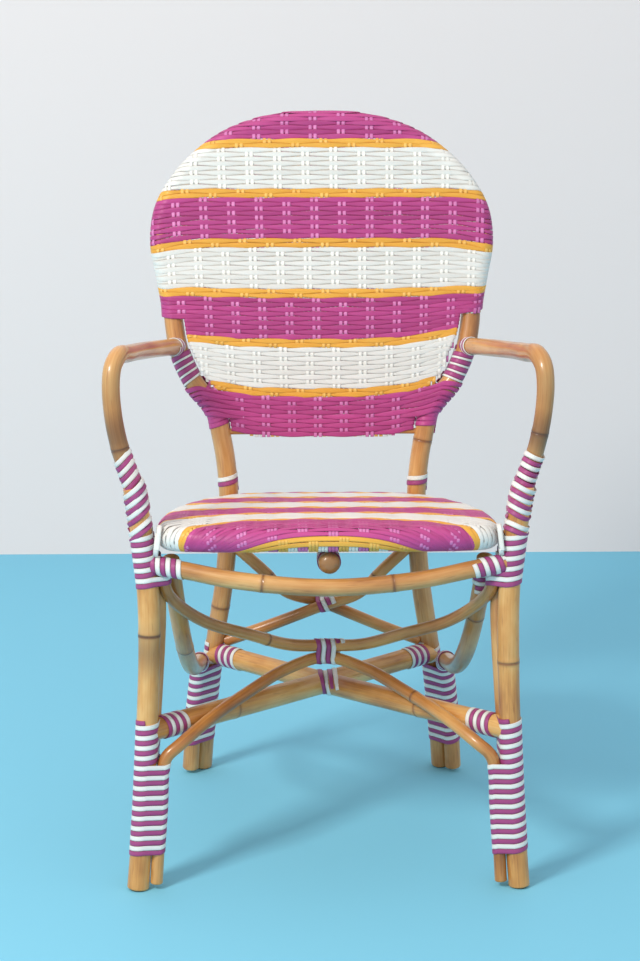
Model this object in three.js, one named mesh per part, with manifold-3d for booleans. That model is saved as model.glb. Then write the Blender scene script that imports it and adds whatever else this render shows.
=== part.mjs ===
// A rattan bistro armchair: bent poles, lashed joints, a woven seat and a woven back.
// Millimetres, +Z up. The front feet stand on the line Y = 0 while the chair is laid out,
// the sitter faces -Y, and the finished group is centred over its own footprint.
import * as THREE from 'three';
import { mergeVertices } from 'three/addons/utils/BufferGeometryUtils.js';
import Module from 'manifold-3d';

const wasm = await Module();
wasm.setup();

// Driving dimensions
// Stance and heights
const frontFootHalfSpacing = 232;
const frontSeatHalfSpacing = 214;
const frontLegSetback = 12;
const frontLegTopRise = 60;
const legLeanShare = 0.7078;
const backFootSetback = 450;
const postSetback = 388;
const backFootHalfSpacing = 165;
const postHalfSpacing = 124.5;
const hoopHalfWidth = 211;
const hoopTopHeight = 883;
const hoopTopSetback = 500;

// Pole radii
const legRadius = 13;
const armRadius = 10.8;
const frameRadius = 12.5;
const ringRadius = 11.5;
const railRadius = 10.5;
const bearerRadius = 13;
const stretcherRadius = 13.8;
const braceRadius = 7.6;
const sideBraceRadius = 11;
const rearBraceRadius = 8;
const rodRadius = 4;

// Arms
const armHalfWidth = 256;
const armRise = 49;
const armBackShare = 0.4222;
const armFootDrop = 6;
const armDrift = 10;

// Seat
const ringHalfWidth = 192;
const ringFrontOverhang = 8;
const ringFrontHeight = 438;
const ringFall = 50;
const weaveThickness = 4;
const sheetThickness = 2.4;
const weaveRelief = 1.6;
const weaveRepeat = 11.8;
const seatCrown = 4;
const seatWindowLength = 58;
const railDrop = 33;
const railBulge = 28;
const railDip = 23;
const bearerOverhang = 4;

// Braces
const crossSetback = 246;
const crossHeight = 184;
const stretcherFrontRise = 15;
const stretcherRearFall = 9.5;
const lowerBraceLead = 31;
const lowerBraceRise = 43.5;
const lowerBraceExitDrop = 43;
const upperBraceDrop = 50;
const sideBraceDrop = 36;
const sideBraceMeetDrop = 6.5;
const rearBraceFootRise = 17.5;
const rearBraceCrossShare = 0.397;
const rearBraceTopDrop = 60;

// Woven back
const panelBottomShare = 0.1818;
const panelSleeveEndShare = 0.497;
const panelEdgeInset = 4;
const panelBottomLead = 3;

// Feet and fasteners
const glideRadius = 9.5;
const glideThickness = 4;
const screwRadius = 2;
const screwHeadRadius = 4;
const screwHeadThickness = 2.4;
const screwLength = 34;
const screwSink = 1;

// Lashing strips
const stripWidth = 5.1;
const stripThickness = 1.5;
const stripPitch = 12.6;
const legLashingBottom = 43;
const jointLashingDrop = 61;
const jointLashingTurns = 3.6;
const armLashingRise = 24;
const armLashingTurns = 5.2;
const backLegLashingBottom = 44;
const cornerLashingRise = 14;
const cornerLashingClear = 50;
const armBackLashingTurns = 4.4;
const armBackLashingLead = 8;
const elbowShare = 0.6;
const jointReach = 130;
const endLashingTurns = 2.6;
const frontEndMargin = 42;
const rearEndMargin = 36;
const tieLashingTurns = 2.4;
const postLashingTurns = 1.2;

// Clearance between touching pieces, and how far a cutter overruns
const contactGap = 0.3;
const lashingGap = 0.3;
const crossingGap = 0.6;
const elbowGap = 1;
const ringEndGap = 1.2;
const overrun = 20;

// Counts of facets
const poleSides = 8;
const slimSides = 8;
const glideSides = 12;
const turnSteps = 8;
const ringSteps = 32;
const bisections = 18;
const envelopeStepsPerTurn = 2;

// Shares that lashings are judged by: of a right angle, of a straight line and of a turn
const alignedShare = 0.3;
const straightShare = 1e-6;
const nextTurnShare = 0.6;

// Sizes that follow from the driving ones
const mix = (a, b, share) => a + (b - a) * share;
const ringRearHeight = ringFrontHeight - ringFall;
const frontLegTopHeight = ringFrontHeight + frontLegTopRise;
const legLeanHeight = legLeanShare * ringFrontHeight;
const railHeight = ringFrontHeight - railDrop;
const stretcherFrontHeight = crossHeight + stretcherFrontRise;
const stretcherRearHeight = crossHeight - stretcherRearFall;
const lowerBraceReach = crossSetback - lowerBraceLead;
const lowerBraceHeight = crossHeight + lowerBraceRise;
const lowerBraceExitHeight = stretcherFrontHeight - lowerBraceExitDrop;
const upperBraceEndHeight = ringFrontHeight - upperBraceDrop;
const sideBraceTopHeight = ringFrontHeight - sideBraceDrop;
const sideBraceMeetHeight = stretcherRearHeight - sideBraceMeetDrop;
const rearBraceFootHeight = stretcherRearHeight + rearBraceFootRise;
const rearBraceTopHeight = ringRearHeight - rearBraceTopDrop;
const rearBraceCrossHeight = mix(rearBraceFootHeight, rearBraceTopHeight, rearBraceCrossShare);
const armFootHeight = lowerBraceExitHeight - armFootDrop;
const armBackHeight = mix(ringRearHeight, hoopTopHeight, armBackShare);
const armTopHeight = armBackHeight + armRise;
const panelBottomHeight = mix(ringRearHeight, hoopTopHeight, panelBottomShare);
const panelSleeveEndHeight = mix(ringRearHeight, hoopTopHeight, panelSleeveEndShare);
const jointLashingBottom = ringFrontHeight - jointLashingDrop;
const armLashingBottom = ringFrontHeight + armLashingRise;
const cornerLashingBottom = panelBottomHeight + cornerLashingRise;
const cornerLashingTop = armBackHeight - cornerLashingClear;
const cornerLashingTurns = (cornerLashingTop - cornerLashingBottom) / stripPitch;
const legLashingTop = stretcherFrontHeight + stretcherRadius;
const legLashingTurns = (legLashingTop - legLashingBottom) / stripPitch;
const backLegLashingTop = stretcherRearHeight - stretcherRadius;
const backLegLashingTurns = (backLegLashingTop - backLegLashingBottom) / stripPitch;

// Finishes
const finishes = {
  rattan: { color: 0xc98f4a, roughness: 0.38, metalness: 0 },
  slim: { color: 0xb9793a, roughness: 0.42, metalness: 0 },
  magenta: { color: 0xa8308a, roughness: 0.35, metalness: 0 },
  white: { color: 0xf0eee8, roughness: 0.38, metalness: 0 },
  weave: { color: 0xb4489a, roughness: 0.42, metalness: 0 },
  steel: { color: 0x9a9a96, roughness: 0.35, metalness: 0.9 },
  glide: { color: 0x2b2a28, roughness: 0.5, metalness: 0 },
};

const up = new THREE.Vector3(0, 0, 1);
const chair = new THREE.Group();
chair.name = 'bistro_chair';

// Solids
function solidOf(geometry) {
  const bare = geometry.clone();
  bare.deleteAttribute('normal');
  bare.deleteAttribute('uv');
  const merged = mergeVertices(bare);
  const vertProperties = new Float32Array(merged.attributes.position.array);
  const triVerts = new Uint32Array(merged.index.array);
  if (signedVolume(vertProperties, triVerts) < 0) {
    for (let i = 0; i < triVerts.length; i += 3) {
      const first = triVerts[i];
      triVerts[i] = triVerts[i + 1];
      triVerts[i + 1] = first;
    }
  }
  return new wasm.Manifold(new wasm.Mesh({ numProp: 3, vertProperties, triVerts }));
}

function indexedSolid(positions, indices) {
  const geometry = new THREE.BufferGeometry();
  geometry.setAttribute('position', new THREE.Float32BufferAttribute(positions, 3));
  geometry.setIndex(indices);
  return solidOf(geometry);
}

function signedVolume(positions, indices) {
  let volume = 0;
  const a = new THREE.Vector3();
  const b = new THREE.Vector3();
  const c = new THREE.Vector3();
  for (let i = 0; i < indices.length; i += 3) {
    a.fromArray(positions, 3 * indices[i]);
    b.fromArray(positions, 3 * indices[i + 1]);
    c.fromArray(positions, 3 * indices[i + 2]);
    volume += a.dot(b.cross(c));
  }
  return volume;
}

// A cut can leave a sliver on the far side of the neighbour: only the main body is the piece.
function mainBody(solid) {
  const bodies = solid.decompose();
  return bodies.reduce((best, body) => (body.volume() > best.volume() ? body : best));
}

function cut(solid, ...cutters) {
  return mainBody(cutters.reduce((rest, cutter) => rest.subtract(cutter), solid));
}

function addPiece(name, solid, finish) {
  const mesh = solid.getMesh();
  const geometry = new THREE.BufferGeometry();
  const positions = new THREE.BufferAttribute(new Float32Array(mesh.vertProperties), 3);
  geometry.setAttribute('position', positions);
  geometry.setIndex(new THREE.BufferAttribute(new Uint32Array(mesh.triVerts), 1));
  geometry.computeVertexNormals();
  const piece = new THREE.Mesh(geometry, new THREE.MeshStandardMaterial(finishes[finish]));
  piece.name = name;
  chair.add(piece);
  return piece;
}

function box(lowX, lowY, lowZ, highX, highY, highZ) {
  const geometry = new THREE.BoxGeometry(highX - lowX, highY - lowY, highZ - lowZ);
  geometry.translate((lowX + highX) / 2, (lowY + highY) / 2, (lowZ + highZ) / 2);
  return solidOf(geometry);
}

// Poles
const point = (x, y, z) => new THREE.Vector3(x, y, z);

function smooth(points) {
  return new THREE.CatmullRomCurve3(points, false, 'centripetal');
}

function sectionShape(radius, sides) {
  const corners = [];
  for (let i = 0; i < sides; i += 1) {
    const angle = (2 * Math.PI * i) / sides;
    corners.push(new THREE.Vector2(radius * Math.cos(angle), radius * Math.sin(angle)));
  }
  return new THREE.Shape(corners);
}

// One bent pole: its centre line, its radius, how many steps it takes and its facets.
class Pole {
  constructor(curve, radius, steps, sides = poleSides) {
    this.curve = curve;
    this.radius = radius;
    this.steps = steps;
    this.sides = sides;
    this.line = curve.getSpacedPoints(steps);
  }

  solid(swell = 0) {
    const settings = { steps: this.steps, bevelEnabled: false, extrudePath: this.curve };
    const shape = sectionShape(this.radius + swell, this.sides);
    return solidOf(new THREE.ExtrudeGeometry(shape, settings));
  }

  // The swollen pole that its neighbours are cut with: its flats keep the clearance.
  seat(swell = contactGap) {
    return this.solid(swell / Math.cos(Math.PI / this.sides));
  }

  // The centre line where it crosses a height, or any plane across an axis.
  across(axis, station) {
    for (let i = 1; i < this.line.length; i += 1) {
      const before = this.line[i - 1].dot(axis) - station;
      const after = this.line[i].dot(axis) - station;
      if (before === 0 || before * after < 0) {
        const centre = this.line[i - 1].clone().lerp(this.line[i], before / (before - after));
        const direction = this.line[i].clone().sub(this.line[i - 1]).normalize();
        return { centre, direction };
      }
    }
    return null;
  }

  at(height) {
    return this.across(up, height).centre;
  }
}

// Layout of the poles
const legArmSpacing = legRadius + armRadius + contactGap;
const legBraceSpacing = legRadius + braceRadius + contactGap;

// Rows: height, spread from the seat joint out to the foot, setback.
const legShares = [[-0.06, 1.07, 0], [0.36, 0.5, 0.36], [1, 0, 0.72]];
const legTopShares = [[0.35, 0.05, 0.95], [0.6, 0.32, 1], [0.85, 0.62, 1], [1, 0.86, 1]];

function legPole(side) {
  const flare = frontFootHalfSpacing - frontSeatHalfSpacing;
  const points = legShares.map(([rise, spread, back]) => point(
    side * (frontSeatHalfSpacing + flare * spread),
    frontLegSetback * back,
    legLeanHeight * rise,
  ));
  points.push(...legTopShares.map(([rise, spread, back]) => point(
    side * (frontSeatHalfSpacing + flare * spread),
    frontLegSetback * back,
    mix(legLeanHeight, frontLegTopHeight, rise),
  )));
  return new Pole(smooth(points), legRadius, 14);
}

// The arm pole stands behind the leg, leaves it above the seat and turns back to the post.
// Rows for the standing part: height between its foot and the leg's top, inward drift.
const armStandShares = [[0, 0.3], [0.3, 0.6], [0.6, 0.9], [0.74, 0.75], [0.86, 0.1], [1, -0.02]];
// Rows for the free part: outward share, depth share to the post, height share.
const armRiseShares = [
  [0.36, -0.004, 0.17], [0.64, -0.006, 0.33], [0.9, -0.004, 0.56], [1, 0.004, 0.79],
  [0.93, 0.02, 0.93], [0.74, 0.062, 0.995], [0.46, 0.2, 0.96],
];
const armRunShares = [[0.74, 0.42], [0.4, 0.74], [0.1, 0.94], [0, 1]];

function armPole(side, leg, post) {
  const points = armStandShares.map(([rise, inward]) => {
    const seat = leg.at(mix(armFootHeight, frontLegTopHeight - legRadius, rise));
    return point(seat.x - side * armDrift * inward, seat.y + legArmSpacing, seat.z);
  });
  const last = points[points.length - 1];
  const end = post.at(armBackHeight);
  const wide = side * armHalfWidth;
  points.push(...armRiseShares.map(([out, back, rise]) => point(
    mix(last.x, wide, out),
    mix(last.y, end.y, back),
    mix(last.z, armTopHeight, rise),
  )));
  const knee = points[points.length - 1].clone();
  points.push(...armRunShares.map(([out, back]) => point(
    mix(end.x, knee.x, out),
    mix(knee.y, end.y, back),
    mix(knee.z, end.z, back),
  )));
  return new Pole(smooth(points), armRadius, 32);
}

// The back frame is one pole from foot to foot over the hoop.
// Rows below the post: height, outward share to the foot, setback share to the foot.
const backLegShares = [
  [-0.05, 1.04, 1.02], [0.2, 0.84, 0.7], [0.5, 0.5, 0.36], [0.74, 0.16, 0.12], [1, 0, 0],
];
// Rows of the hoop: outward share to the widest point, height share, setback share.
const hoopShares = [
  [0.04, 0.115, 0], [0.116, 0.194, 0.015], [0.202, 0.259, 0.044], [0.526, 0.331, 0.092],
  [0.74, 0.412, 0.159], [0.815, 0.479, 0.226], [0.842, 0.539, 0.29], [0.919, 0.61, 0.376],
  [1, 0.691, 0.482], [0.948, 0.77, 0.597], [0.75, 0.835, 0.703], [0.43, 0.8965, 0.81],
  [-0.04, 0.9535, 0.916], [-0.66, 0.99, 0.985], [-1.185, 1, 1],
];

function backPole() {
  const half = backLegShares.map(([rise, out, back]) => point(
    mix(postHalfSpacing, backFootHalfSpacing, out),
    mix(postSetback, backFootSetback, back),
    ringRearHeight * rise,
  ));
  half.push(...hoopShares.map(([out, rise, back]) => point(
    mix(postHalfSpacing, hoopHalfWidth, out),
    mix(postSetback, hoopTopSetback, back),
    mix(ringRearHeight, hoopTopHeight, rise),
  )));
  const mirrored = half.slice().reverse().map((p) => point(-p.x, p.y, p.z));
  return new Pole(smooth([...half, ...mirrored]), frameRadius, 56);
}

// The half of the back frame on one side, for looking up where its post passes.
function backHalf(side, frame) {
  const middle = Math.ceil(frame.line.length / 2);
  const half = frame.line.slice(0, middle).map((p) => point(side * Math.abs(p.x), p.y, p.z));
  return new Pole(smooth(half), frameRadius, half.length - 1);
}

// The seat ring, from the rear middle round to the rear middle. Rows: half-width, depth.
const ringShares = [
  [0, 1], [0.32, 0.992], [0.555, 0.957], [0.7, 0.88], [0.81, 0.775], [0.91, 0.62],
  [0.975, 0.45], [1, 0.29], [0.995, 0.17], [0.988, 0.1], [0.955, 0.05],
  [0.84, 0.024], [0.5, 0.006], [0, 0],
];

function ringDepth() {
  return postSetback + ringFrontOverhang;
}

function ringHeightAt(y) {
  return mix(ringFrontHeight, ringRearHeight, (y + ringFrontOverhang) / ringDepth());
}

function ringPoint(wide, deep, side) {
  const y = deep * ringDepth() - ringFrontOverhang;
  return point(side * wide * ringHalfWidth, y, ringHeightAt(y));
}

function ringCurve() {
  const right = ringShares.map(([wide, deep]) => ringPoint(wide, deep, 1));
  const left = ringShares.slice(1, -1).reverse().map(([wide, deep]) => ringPoint(wide, deep, -1));
  return new THREE.CatmullRomCurve3([...right, ...left], true, 'centripetal');
}

// A loop round the ring's centre line, which has no ends.
function closedRing(radius) {
  const curve = ringCurve();
  const positions = [];
  for (let i = 0; i < ringSteps; i += 1) {
    const centre = curve.getPointAt(i / ringSteps);
    const tangent = curve.getTangentAt(i / ringSteps);
    const outward = new THREE.Vector3().crossVectors(tangent, up).normalize();
    const raised = new THREE.Vector3().crossVectors(outward, tangent).normalize();
    for (let k = 0; k < poleSides; k += 1) {
      const angle = (2 * Math.PI * (k + 1 / 2)) / poleSides;
      const corner = centre.clone()
        .addScaledVector(outward, radius * Math.cos(angle))
        .addScaledVector(raised, radius * Math.sin(angle));
      positions.push(corner.x, corner.y, corner.z);
    }
  }
  const indices = [];
  for (let i = 0; i < ringSteps; i += 1) {
    for (let k = 0; k < poleSides; k += 1) {
      const next = (i + 1) % ringSteps;
      const a = poleSides * i + k;
      const b = poleSides * i + ((k + 1) % poleSides);
      const c = poleSides * next + ((k + 1) % poleSides);
      const d = poleSides * next + k;
      indices.push(a, b, c, a, c, d);
    }
  }
  return indexedSolid(positions, indices);
}

// The hollow that touching pieces keep for the ring, inside its cover or in a seat.
function ringSeat(swell = contactGap) {
  return closedRing(ringRadius + swell / Math.cos(Math.PI / poleSides));
}

// The front rail bows forward and dips. Rows: half-span, bulge, dip.
const railShares = [[1, 0, 0], [0.8, 0.32, 0.24], [0.5, 0.74, 0.68], [0, 1, 1]];

function bowed(rows, place) {
  const right = rows.map((row) => place(row, 1));
  const left = rows.slice(0, -1).reverse().map((row) => place(row, -1));
  return [...right, ...left];
}

function railPole(leg) {
  const end = leg.at(railHeight);
  const points = bowed(railShares, ([wide, bulge, dip], side) => point(
    side * wide * end.x,
    end.y - railBulge * bulge,
    railHeight - railDip * dip,
  ));
  return new Pole(smooth(points), railRadius, 14);
}

function bearerPole() {
  const drop = ringRadius + weaveThickness + contactGap + bearerRadius;
  const front = -ringFrontOverhang - bearerOverhang;
  const ends = [front, postSetback];
  const points = ends.map((y) => point(0, y, ringHeightAt(y) - drop));
  return new Pole(smooth(points), bearerRadius, 1, poleSides);
}

// A stretcher runs straight from a front leg through the crossing to the far back leg.
function stretcherPole(side, leg, post) {
  const front = leg.at(stretcherFrontHeight);
  const rear = post.at(stretcherRearHeight);
  const cross = point(0, crossSetback, crossHeight);
  const far = point(-side * Math.abs(rear.x), rear.y, rear.z);
  return new Pole(smooth([front, cross, far]), stretcherRadius, 2);
}

// The lower brace stands on the floor beside each front leg and arches to the crossing.
// Rows: half-span, reach, height.
const lowerBraceShares = [
  [0.975, 0.028, 0.733], [0.9, 0.056, 0.787], [0.708, 0.262, 0.876], [0.47, 0.555, 0.94],
  [0.262, 0.8, 0.983], [0, 1, 1],
];
const stubShares = [-0.12, 0.3, 0.65, 0.98];

function lowerBracePole(leg) {
  const stub = stubShares.map((rise) => {
    const seat = leg.at(Math.max(lowerBraceExitHeight * rise, 0));
    return point(seat.x - legBraceSpacing, seat.y, lowerBraceExitHeight * rise);
  });
  const reach = stub[stub.length - 1].x;
  const rows = stub.map((p) => [p.x / reach, p.y / lowerBraceReach, p.z / lowerBraceHeight]);
  const points = bowed([...rows, ...lowerBraceShares], ([wide, deep, rise], side) => point(
    side * wide * reach,
    lowerBraceReach * deep,
    lowerBraceHeight * rise,
  ));
  return new Pole(smooth(points), braceRadius, 26, slimSides);
}

// The upper brace hangs from the seat joints and lies on the lower brace at the middle.
const upperBraceShares = [
  [1, 0.012, 1], [0.995, 0.04, 0.87], [0.945, 0.155, 0.71], [0.763, 0.39, 0.45],
  [0.477, 0.675, 0.222], [0.233, 0.88, 0.056], [0, 1, 0],
];

function upperBracePole(leg) {
  const seat = leg.at(upperBraceEndHeight);
  const reach = seat.x - legBraceSpacing;
  const bottom = lowerBraceHeight + 2 * braceRadius + contactGap;
  const points = bowed(upperBraceShares, ([wide, deep, rise], side) => point(
    side * wide * reach,
    mix(seat.y, lowerBraceReach, deep),
    mix(bottom, upperBraceEndHeight, rise),
  ));
  return new Pole(smooth(points), braceRadius, 22, slimSides);
}

// A side brace sweeps from under the seat down to the back foot, beside the back leg.
const sideBraceShares = [
  [0.985, 0.12, 1], [0.965, 0.17, 0.8], [0.93, 0.3, 0.5], [0.905, 0.5, 0.26],
  [0.885, 0.7, 0.12],
];
const sideFootShares = [1, 0.86, 0.5, -0.08];
const sideBraceOutShare = 0.72;

function sideBracePole(side, post) {
  const spacing = sideBraceRadius + frameRadius + contactGap;
  const out = spacing * sideBraceOutShare;
  const ahead = Math.sqrt(spacing ** 2 - out ** 2);
  const top = sideBraceTopHeight;
  const points = sideBraceShares.map(([wide, deep, rise]) => point(
    side * wide * ringHalfWidth,
    deep * ringDepth(),
    mix(sideBraceMeetHeight, top, rise),
  ));
  points.push(...sideFootShares.map((rise) => {
    const height = sideBraceMeetHeight * rise;
    const seat = post.at(Math.max(height, 0));
    return point(seat.x + side * out, seat.y - ahead, height);
  }));
  return new Pole(smooth(points), sideBraceRadius, 16);
}

// The rear braces cross behind the bearer, one in front of the other.
const rearBraceShares = [[-1, 1], [-0.72, 0.62], [-0.42, 0.2], [0, 0], [0.6, -0.62], [1, -1]];

function rearBracePole(side, post) {
  const top = post.at(rearBraceTopHeight);
  const foot = post.at(rearBraceFootHeight);
  const lap = side * (rearBraceRadius + contactGap / 2);
  const points = rearBraceShares.map(([wide, rise]) => {
    const reach = wide < 0 ? Math.abs(top.x) - frameRadius : Math.abs(foot.x) - frameRadius;
    const low = rearBraceCrossHeight - rearBraceFootHeight;
    const high = rearBraceTopHeight - rearBraceCrossHeight;
    const height = rearBraceCrossHeight + rise * (rise < 0 ? low : high);
    const middle = mix(top.y, foot.y, (1 - rise) / 2);
    return point(side * wide * reach, middle + lap * (1 - Math.abs(wide)), height);
  });
  return new Pole(smooth(points), rearBraceRadius, 14, slimSides);
}

function bottomRod(posts) {
  const ends = posts.map((post) => post.at(panelBottomHeight + rodRadius + weaveThickness));
  return new Pole(smooth(ends), rodRadius, 1, slimSides);
}

// Lashings
// A lashing winds one flat strip round the hull of the poles it binds. In each plane across
// its axis a pole shows as an ellipse, and the strip touches the hull of those ellipses.
class Lashing {
  constructor({ axis, origin, members, turns, phase = 0, gap = lashingGap }) {
    this.axis = axis.clone().normalize();
    this.start = origin.dot(this.axis);
    this.members = members;
    this.turns = turns;
    this.pitch = stripPitch;
    this.phase = phase;
    this.gap = gap;
    this.right = new THREE.Vector3(0, 1, 0).cross(this.axis);
    if (this.right.length() < alignedShare) {
      this.right = new THREE.Vector3(1, 0, 0).cross(this.axis);
    }
    this.right.normalize();
    this.ahead = this.axis.clone().cross(this.right).normalize();
  }

  // Where a member crosses the plane at a station. A turn that passes a member takes it in
  // for half a turn either way, so the strip changes over on the far side from it.
  crossing(member, station, angle) {
    const { pole, to = Infinity } = member;
    let passing = station;
    if (angle !== null && member !== this.members[0]) {
      const round = 2 * Math.PI;
      const facing = this.facing(member);
      const turnsOff = Math.round((angle - facing) / round);
      passing = this.stationAt(facing + turnsOff * round);
    }
    if (passing - this.start > to) {
      return null;
    }
    const passed = pole.across(this.axis, passing);
    return passed && (pole.across(this.axis, station) || passed);
  }

  // The direction in which a member lies from the first one.
  facing(member) {
    if (member.facing === undefined) {
      const total = this.pitch * this.turns;
      for (let share = 0; share <= 1 && member.facing === undefined; share += 1 / turnSteps) {
        const station = this.start + total * share;
        const hit = member.pole.across(this.axis, station);
        const main = this.members[0].pole.across(this.axis, station);
        if (hit && main) {
          const apart = hit.centre.clone().sub(main.centre);
          member.facing = Math.atan2(apart.dot(this.ahead), apart.dot(this.right));
        }
      }
    }
    return member.facing || 0;
  }

  ellipses(station, angle) {
    const found = [];
    this.members.forEach((member, index) => {
      const hit = this.crossing(member, station, angle);
      if (hit) {
        const slope = Math.abs(hit.direction.dot(this.axis));
        const flat = hit.direction.clone().addScaledVector(this.axis, -hit.direction.dot(this.axis));
        const long = flat.length() > straightShare ? flat.normalize() : this.right.clone();
        // The chords between stops stay outside the pole, also on the long flanks.
        const flank = Math.PI / 2 - Math.atan(slope * Math.tan((2 * Math.PI) / turnSteps));
        const radius = (member.pole.radius + this.gap) / Math.cos(flank / 2);
        found.push({
          index,
          centre: hit.centre,
          long,
          wide: this.axis.clone().cross(long),
          a: radius / slope,
          b: radius,
        });
      }
    });
    return found;
  }

  outward(angle) {
    return this.right.clone().multiplyScalar(Math.cos(angle))
      .addScaledVector(this.ahead, Math.sin(angle));
  }

  touch(ellipse, direction) {
    const x = ellipse.a * direction.dot(ellipse.long);
    const y = ellipse.b * direction.dot(ellipse.wide);
    const size = Math.hypot(x, y);
    return ellipse.centre.clone()
      .addScaledVector(ellipse.long, (ellipse.a * x) / size)
      .addScaledVector(ellipse.wide, (ellipse.b * y) / size);
  }

  // The farthest ellipse in a direction, and its touching point.
  reach(station, angle, turn = angle) {
    const direction = this.outward(angle);
    let best = null;
    this.ellipses(station, turn).forEach((ellipse) => {
      const place = this.touch(ellipse, direction);
      const far = place.dot(direction);
      if (!best || far > best.far) {
        best = { far, index: ellipse.index, place, direction };
      }
    });
    return best;
  }

  stationAt(angle) {
    return this.start + (this.pitch * (angle - this.phase)) / (2 * Math.PI);
  }

  // Stops along the strip: even steps, and both tangent points where it leaves a pole.
  stops() {
    const list = [];
    const count = Math.round(this.turns * turnSteps);
    const step = (2 * Math.PI) / turnSteps;
    let before = null;
    for (let i = 0; i <= count; i += 1) {
      const angle = this.phase + i * step;
      const now = { angle, ...this.reach(this.stationAt(angle), angle) };
      if (before && before.index !== now.index) {
        let low = before;
        let high = now;
        for (let k = 0; k < bisections; k += 1) {
          const middle = (low.angle + high.angle) / 2;
          const probe = { angle: middle, ...this.reach(this.stationAt(middle), middle) };
          if (probe.index === before.index) {
            low = probe;
          } else {
            high = probe;
          }
        }
        list.push(low, high);
      }
      list.push(now);
      before = now;
    }
    return this.thinned(list);
  }

  // Stops that all but coincide are one stop.
  thinned(list) {
    const kept = [];
    for (const stop of list) {
      const last = kept[kept.length - 1];
      if (!last || last.place.distanceTo(stop.place) > stripThickness) {
        kept.push(stop);
      } else if (kept.length > 1 && stop.index !== last.index) {
        kept[kept.length - 1] = stop;
      }
    }
    return kept;
  }

  strip() {
    const stops = this.stops();
    const half = stripThickness / 2;
    const centres = stops.map((stop) => stop.place.clone()
      .addScaledVector(stop.direction, half)
      .addScaledVector(this.axis, this.stationAt(stop.angle) - stop.place.dot(this.axis)));
    const positions = [];
    centres.forEach((centre, i) => {
      const tangent = centres[Math.min(i + 1, centres.length - 1)].clone()
        .sub(centres[Math.max(i - 1, 0)]).normalize();
      const across = this.axis.clone().addScaledVector(tangent, -this.axis.dot(tangent)).normalize();
      const { direction } = stops[i];
      const low = centre.clone().addScaledVector(direction, -half);
      const corners = [
        low.clone().addScaledVector(across, -stripWidth / 2),
        low.clone().addScaledVector(across, stripWidth / 2),
        centre.clone().addScaledVector(direction, half),
      ];
      corners.forEach((corner) => positions.push(corner.x, corner.y, corner.z));
    });
    return { positions, rings: centres.length };
  }

  solid() {
    const { positions, rings } = this.strip();
    const indices = [];
    for (let i = 0; i + 1 < rings; i += 1) {
      for (let k = 0; k < 3; k += 1) {
        const a = 3 * i + k;
        const b = 3 * i + ((k + 1) % 3);
        indices.push(a, b, b + 3, a, b + 3, a + 3);
      }
    }
    const last = 3 * (rings - 1);
    indices.push(0, 2, 1, last, last + 1, last + 2);
    return indexedSolid(positions, indices);
  }

  // The least distance between points of the strip that lie most of a turn apart.
  leastGap() {
    const { positions, rings } = this.strip();
    const perTurn = Math.floor((rings / this.turns) * nextTurnShare);
    let least = Infinity;
    for (let i = 0; i < rings; i += 1) {
      for (let j = i + perTurn; j < Math.min(rings, i + 3 * perTurn); j += 1) {
        for (let k = 0; k < 9; k += 1) {
          const a = 3 * i + (k % 3);
          const b = 3 * j + Math.floor(k / 3);
          least = Math.min(least, Math.hypot(
            positions[3 * a] - positions[3 * b],
            positions[3 * a + 1] - positions[3 * b + 1],
            positions[3 * a + 2] - positions[3 * b + 2],
          ));
        }
      }
    }
    return least;
  }

  // A solid over the whole wound length, to cut the pieces that end against the lashing.
  envelope() {
    const stations = Math.max(3, Math.ceil(this.turns * envelopeStepsPerTurn));
    const total = this.pitch * this.turns;
    const positions = [];
    const ring = 2 * turnSteps;
    for (let i = 0; i <= stations; i += 1) {
      const share = i / stations;
      const inner = Math.min(Math.max(this.start + total * share, this.start), this.start + total);
      const end = mix(-stripWidth / 2 - crossingGap, total + stripWidth / 2 + crossingGap, share);
      for (let k = 0; k < ring; k += 1) {
        const stop = this.reach(inner, (2 * Math.PI * k) / ring, null);
        const place = stop.place.clone()
          .addScaledVector(stop.direction, stripThickness + 2 * crossingGap)
          .addScaledVector(this.axis, this.start + end - stop.place.dot(this.axis));
        positions.push(place.x, place.y, place.z);
      }
    }
    const indices = [];
    for (let i = 0; i < stations; i += 1) {
      for (let k = 0; k < ring; k += 1) {
        const a = ring * i + k;
        const b = ring * i + ((k + 1) % ring);
        indices.push(a, b, b + ring, a, b + ring, a + ring);
      }
    }
    for (let k = 1; k + 1 < ring; k += 1) {
      indices.push(0, k + 1, k);
      indices.push(ring * stations, ring * stations + k, ring * stations + k + 1);
    }
    return indexedSolid(positions, indices);
  }
}

function addLashing(name, lashing, finish = 'magenta') {
  console.log(`${name}: least gap to itself ${lashing.leastGap().toFixed(2)} mm`);
  addPiece(name, lashing.solid(), finish);
}

// Fasteners and feet
function turned(profile, sides, from, to) {
  const outline = profile.map(([radius, height]) => new THREE.Vector2(radius, height));
  const geometry = new THREE.LatheGeometry(outline, sides);
  const direction = to.clone().sub(from).normalize();
  const turn = new THREE.Quaternion().setFromUnitVectors(new THREE.Vector3(0, 1, 0), direction);
  geometry.applyQuaternion(turn);
  geometry.translate(from.x, from.y, from.z);
  return solidOf(geometry);
}

function screw(from, to, swell = 0) {
  const shank = screwRadius + swell;
  const head = screwHeadRadius + swell;
  const under = screwHeadThickness + swell;
  const length = screwLength + swell;
  const profile = [[0, -swell], [head, -swell], [head, under], [shank, under], [shank, length], [0, length]];
  return turned(profile, slimSides, from, to);
}

function glide(place) {
  const profile = [[0, 0], [glideRadius, 0], [glideRadius, glideThickness], [0, glideThickness]];
  return turned(profile, glideSides, point(place.x, place.y, 0), point(place.x, place.y, glideThickness));
}

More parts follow.
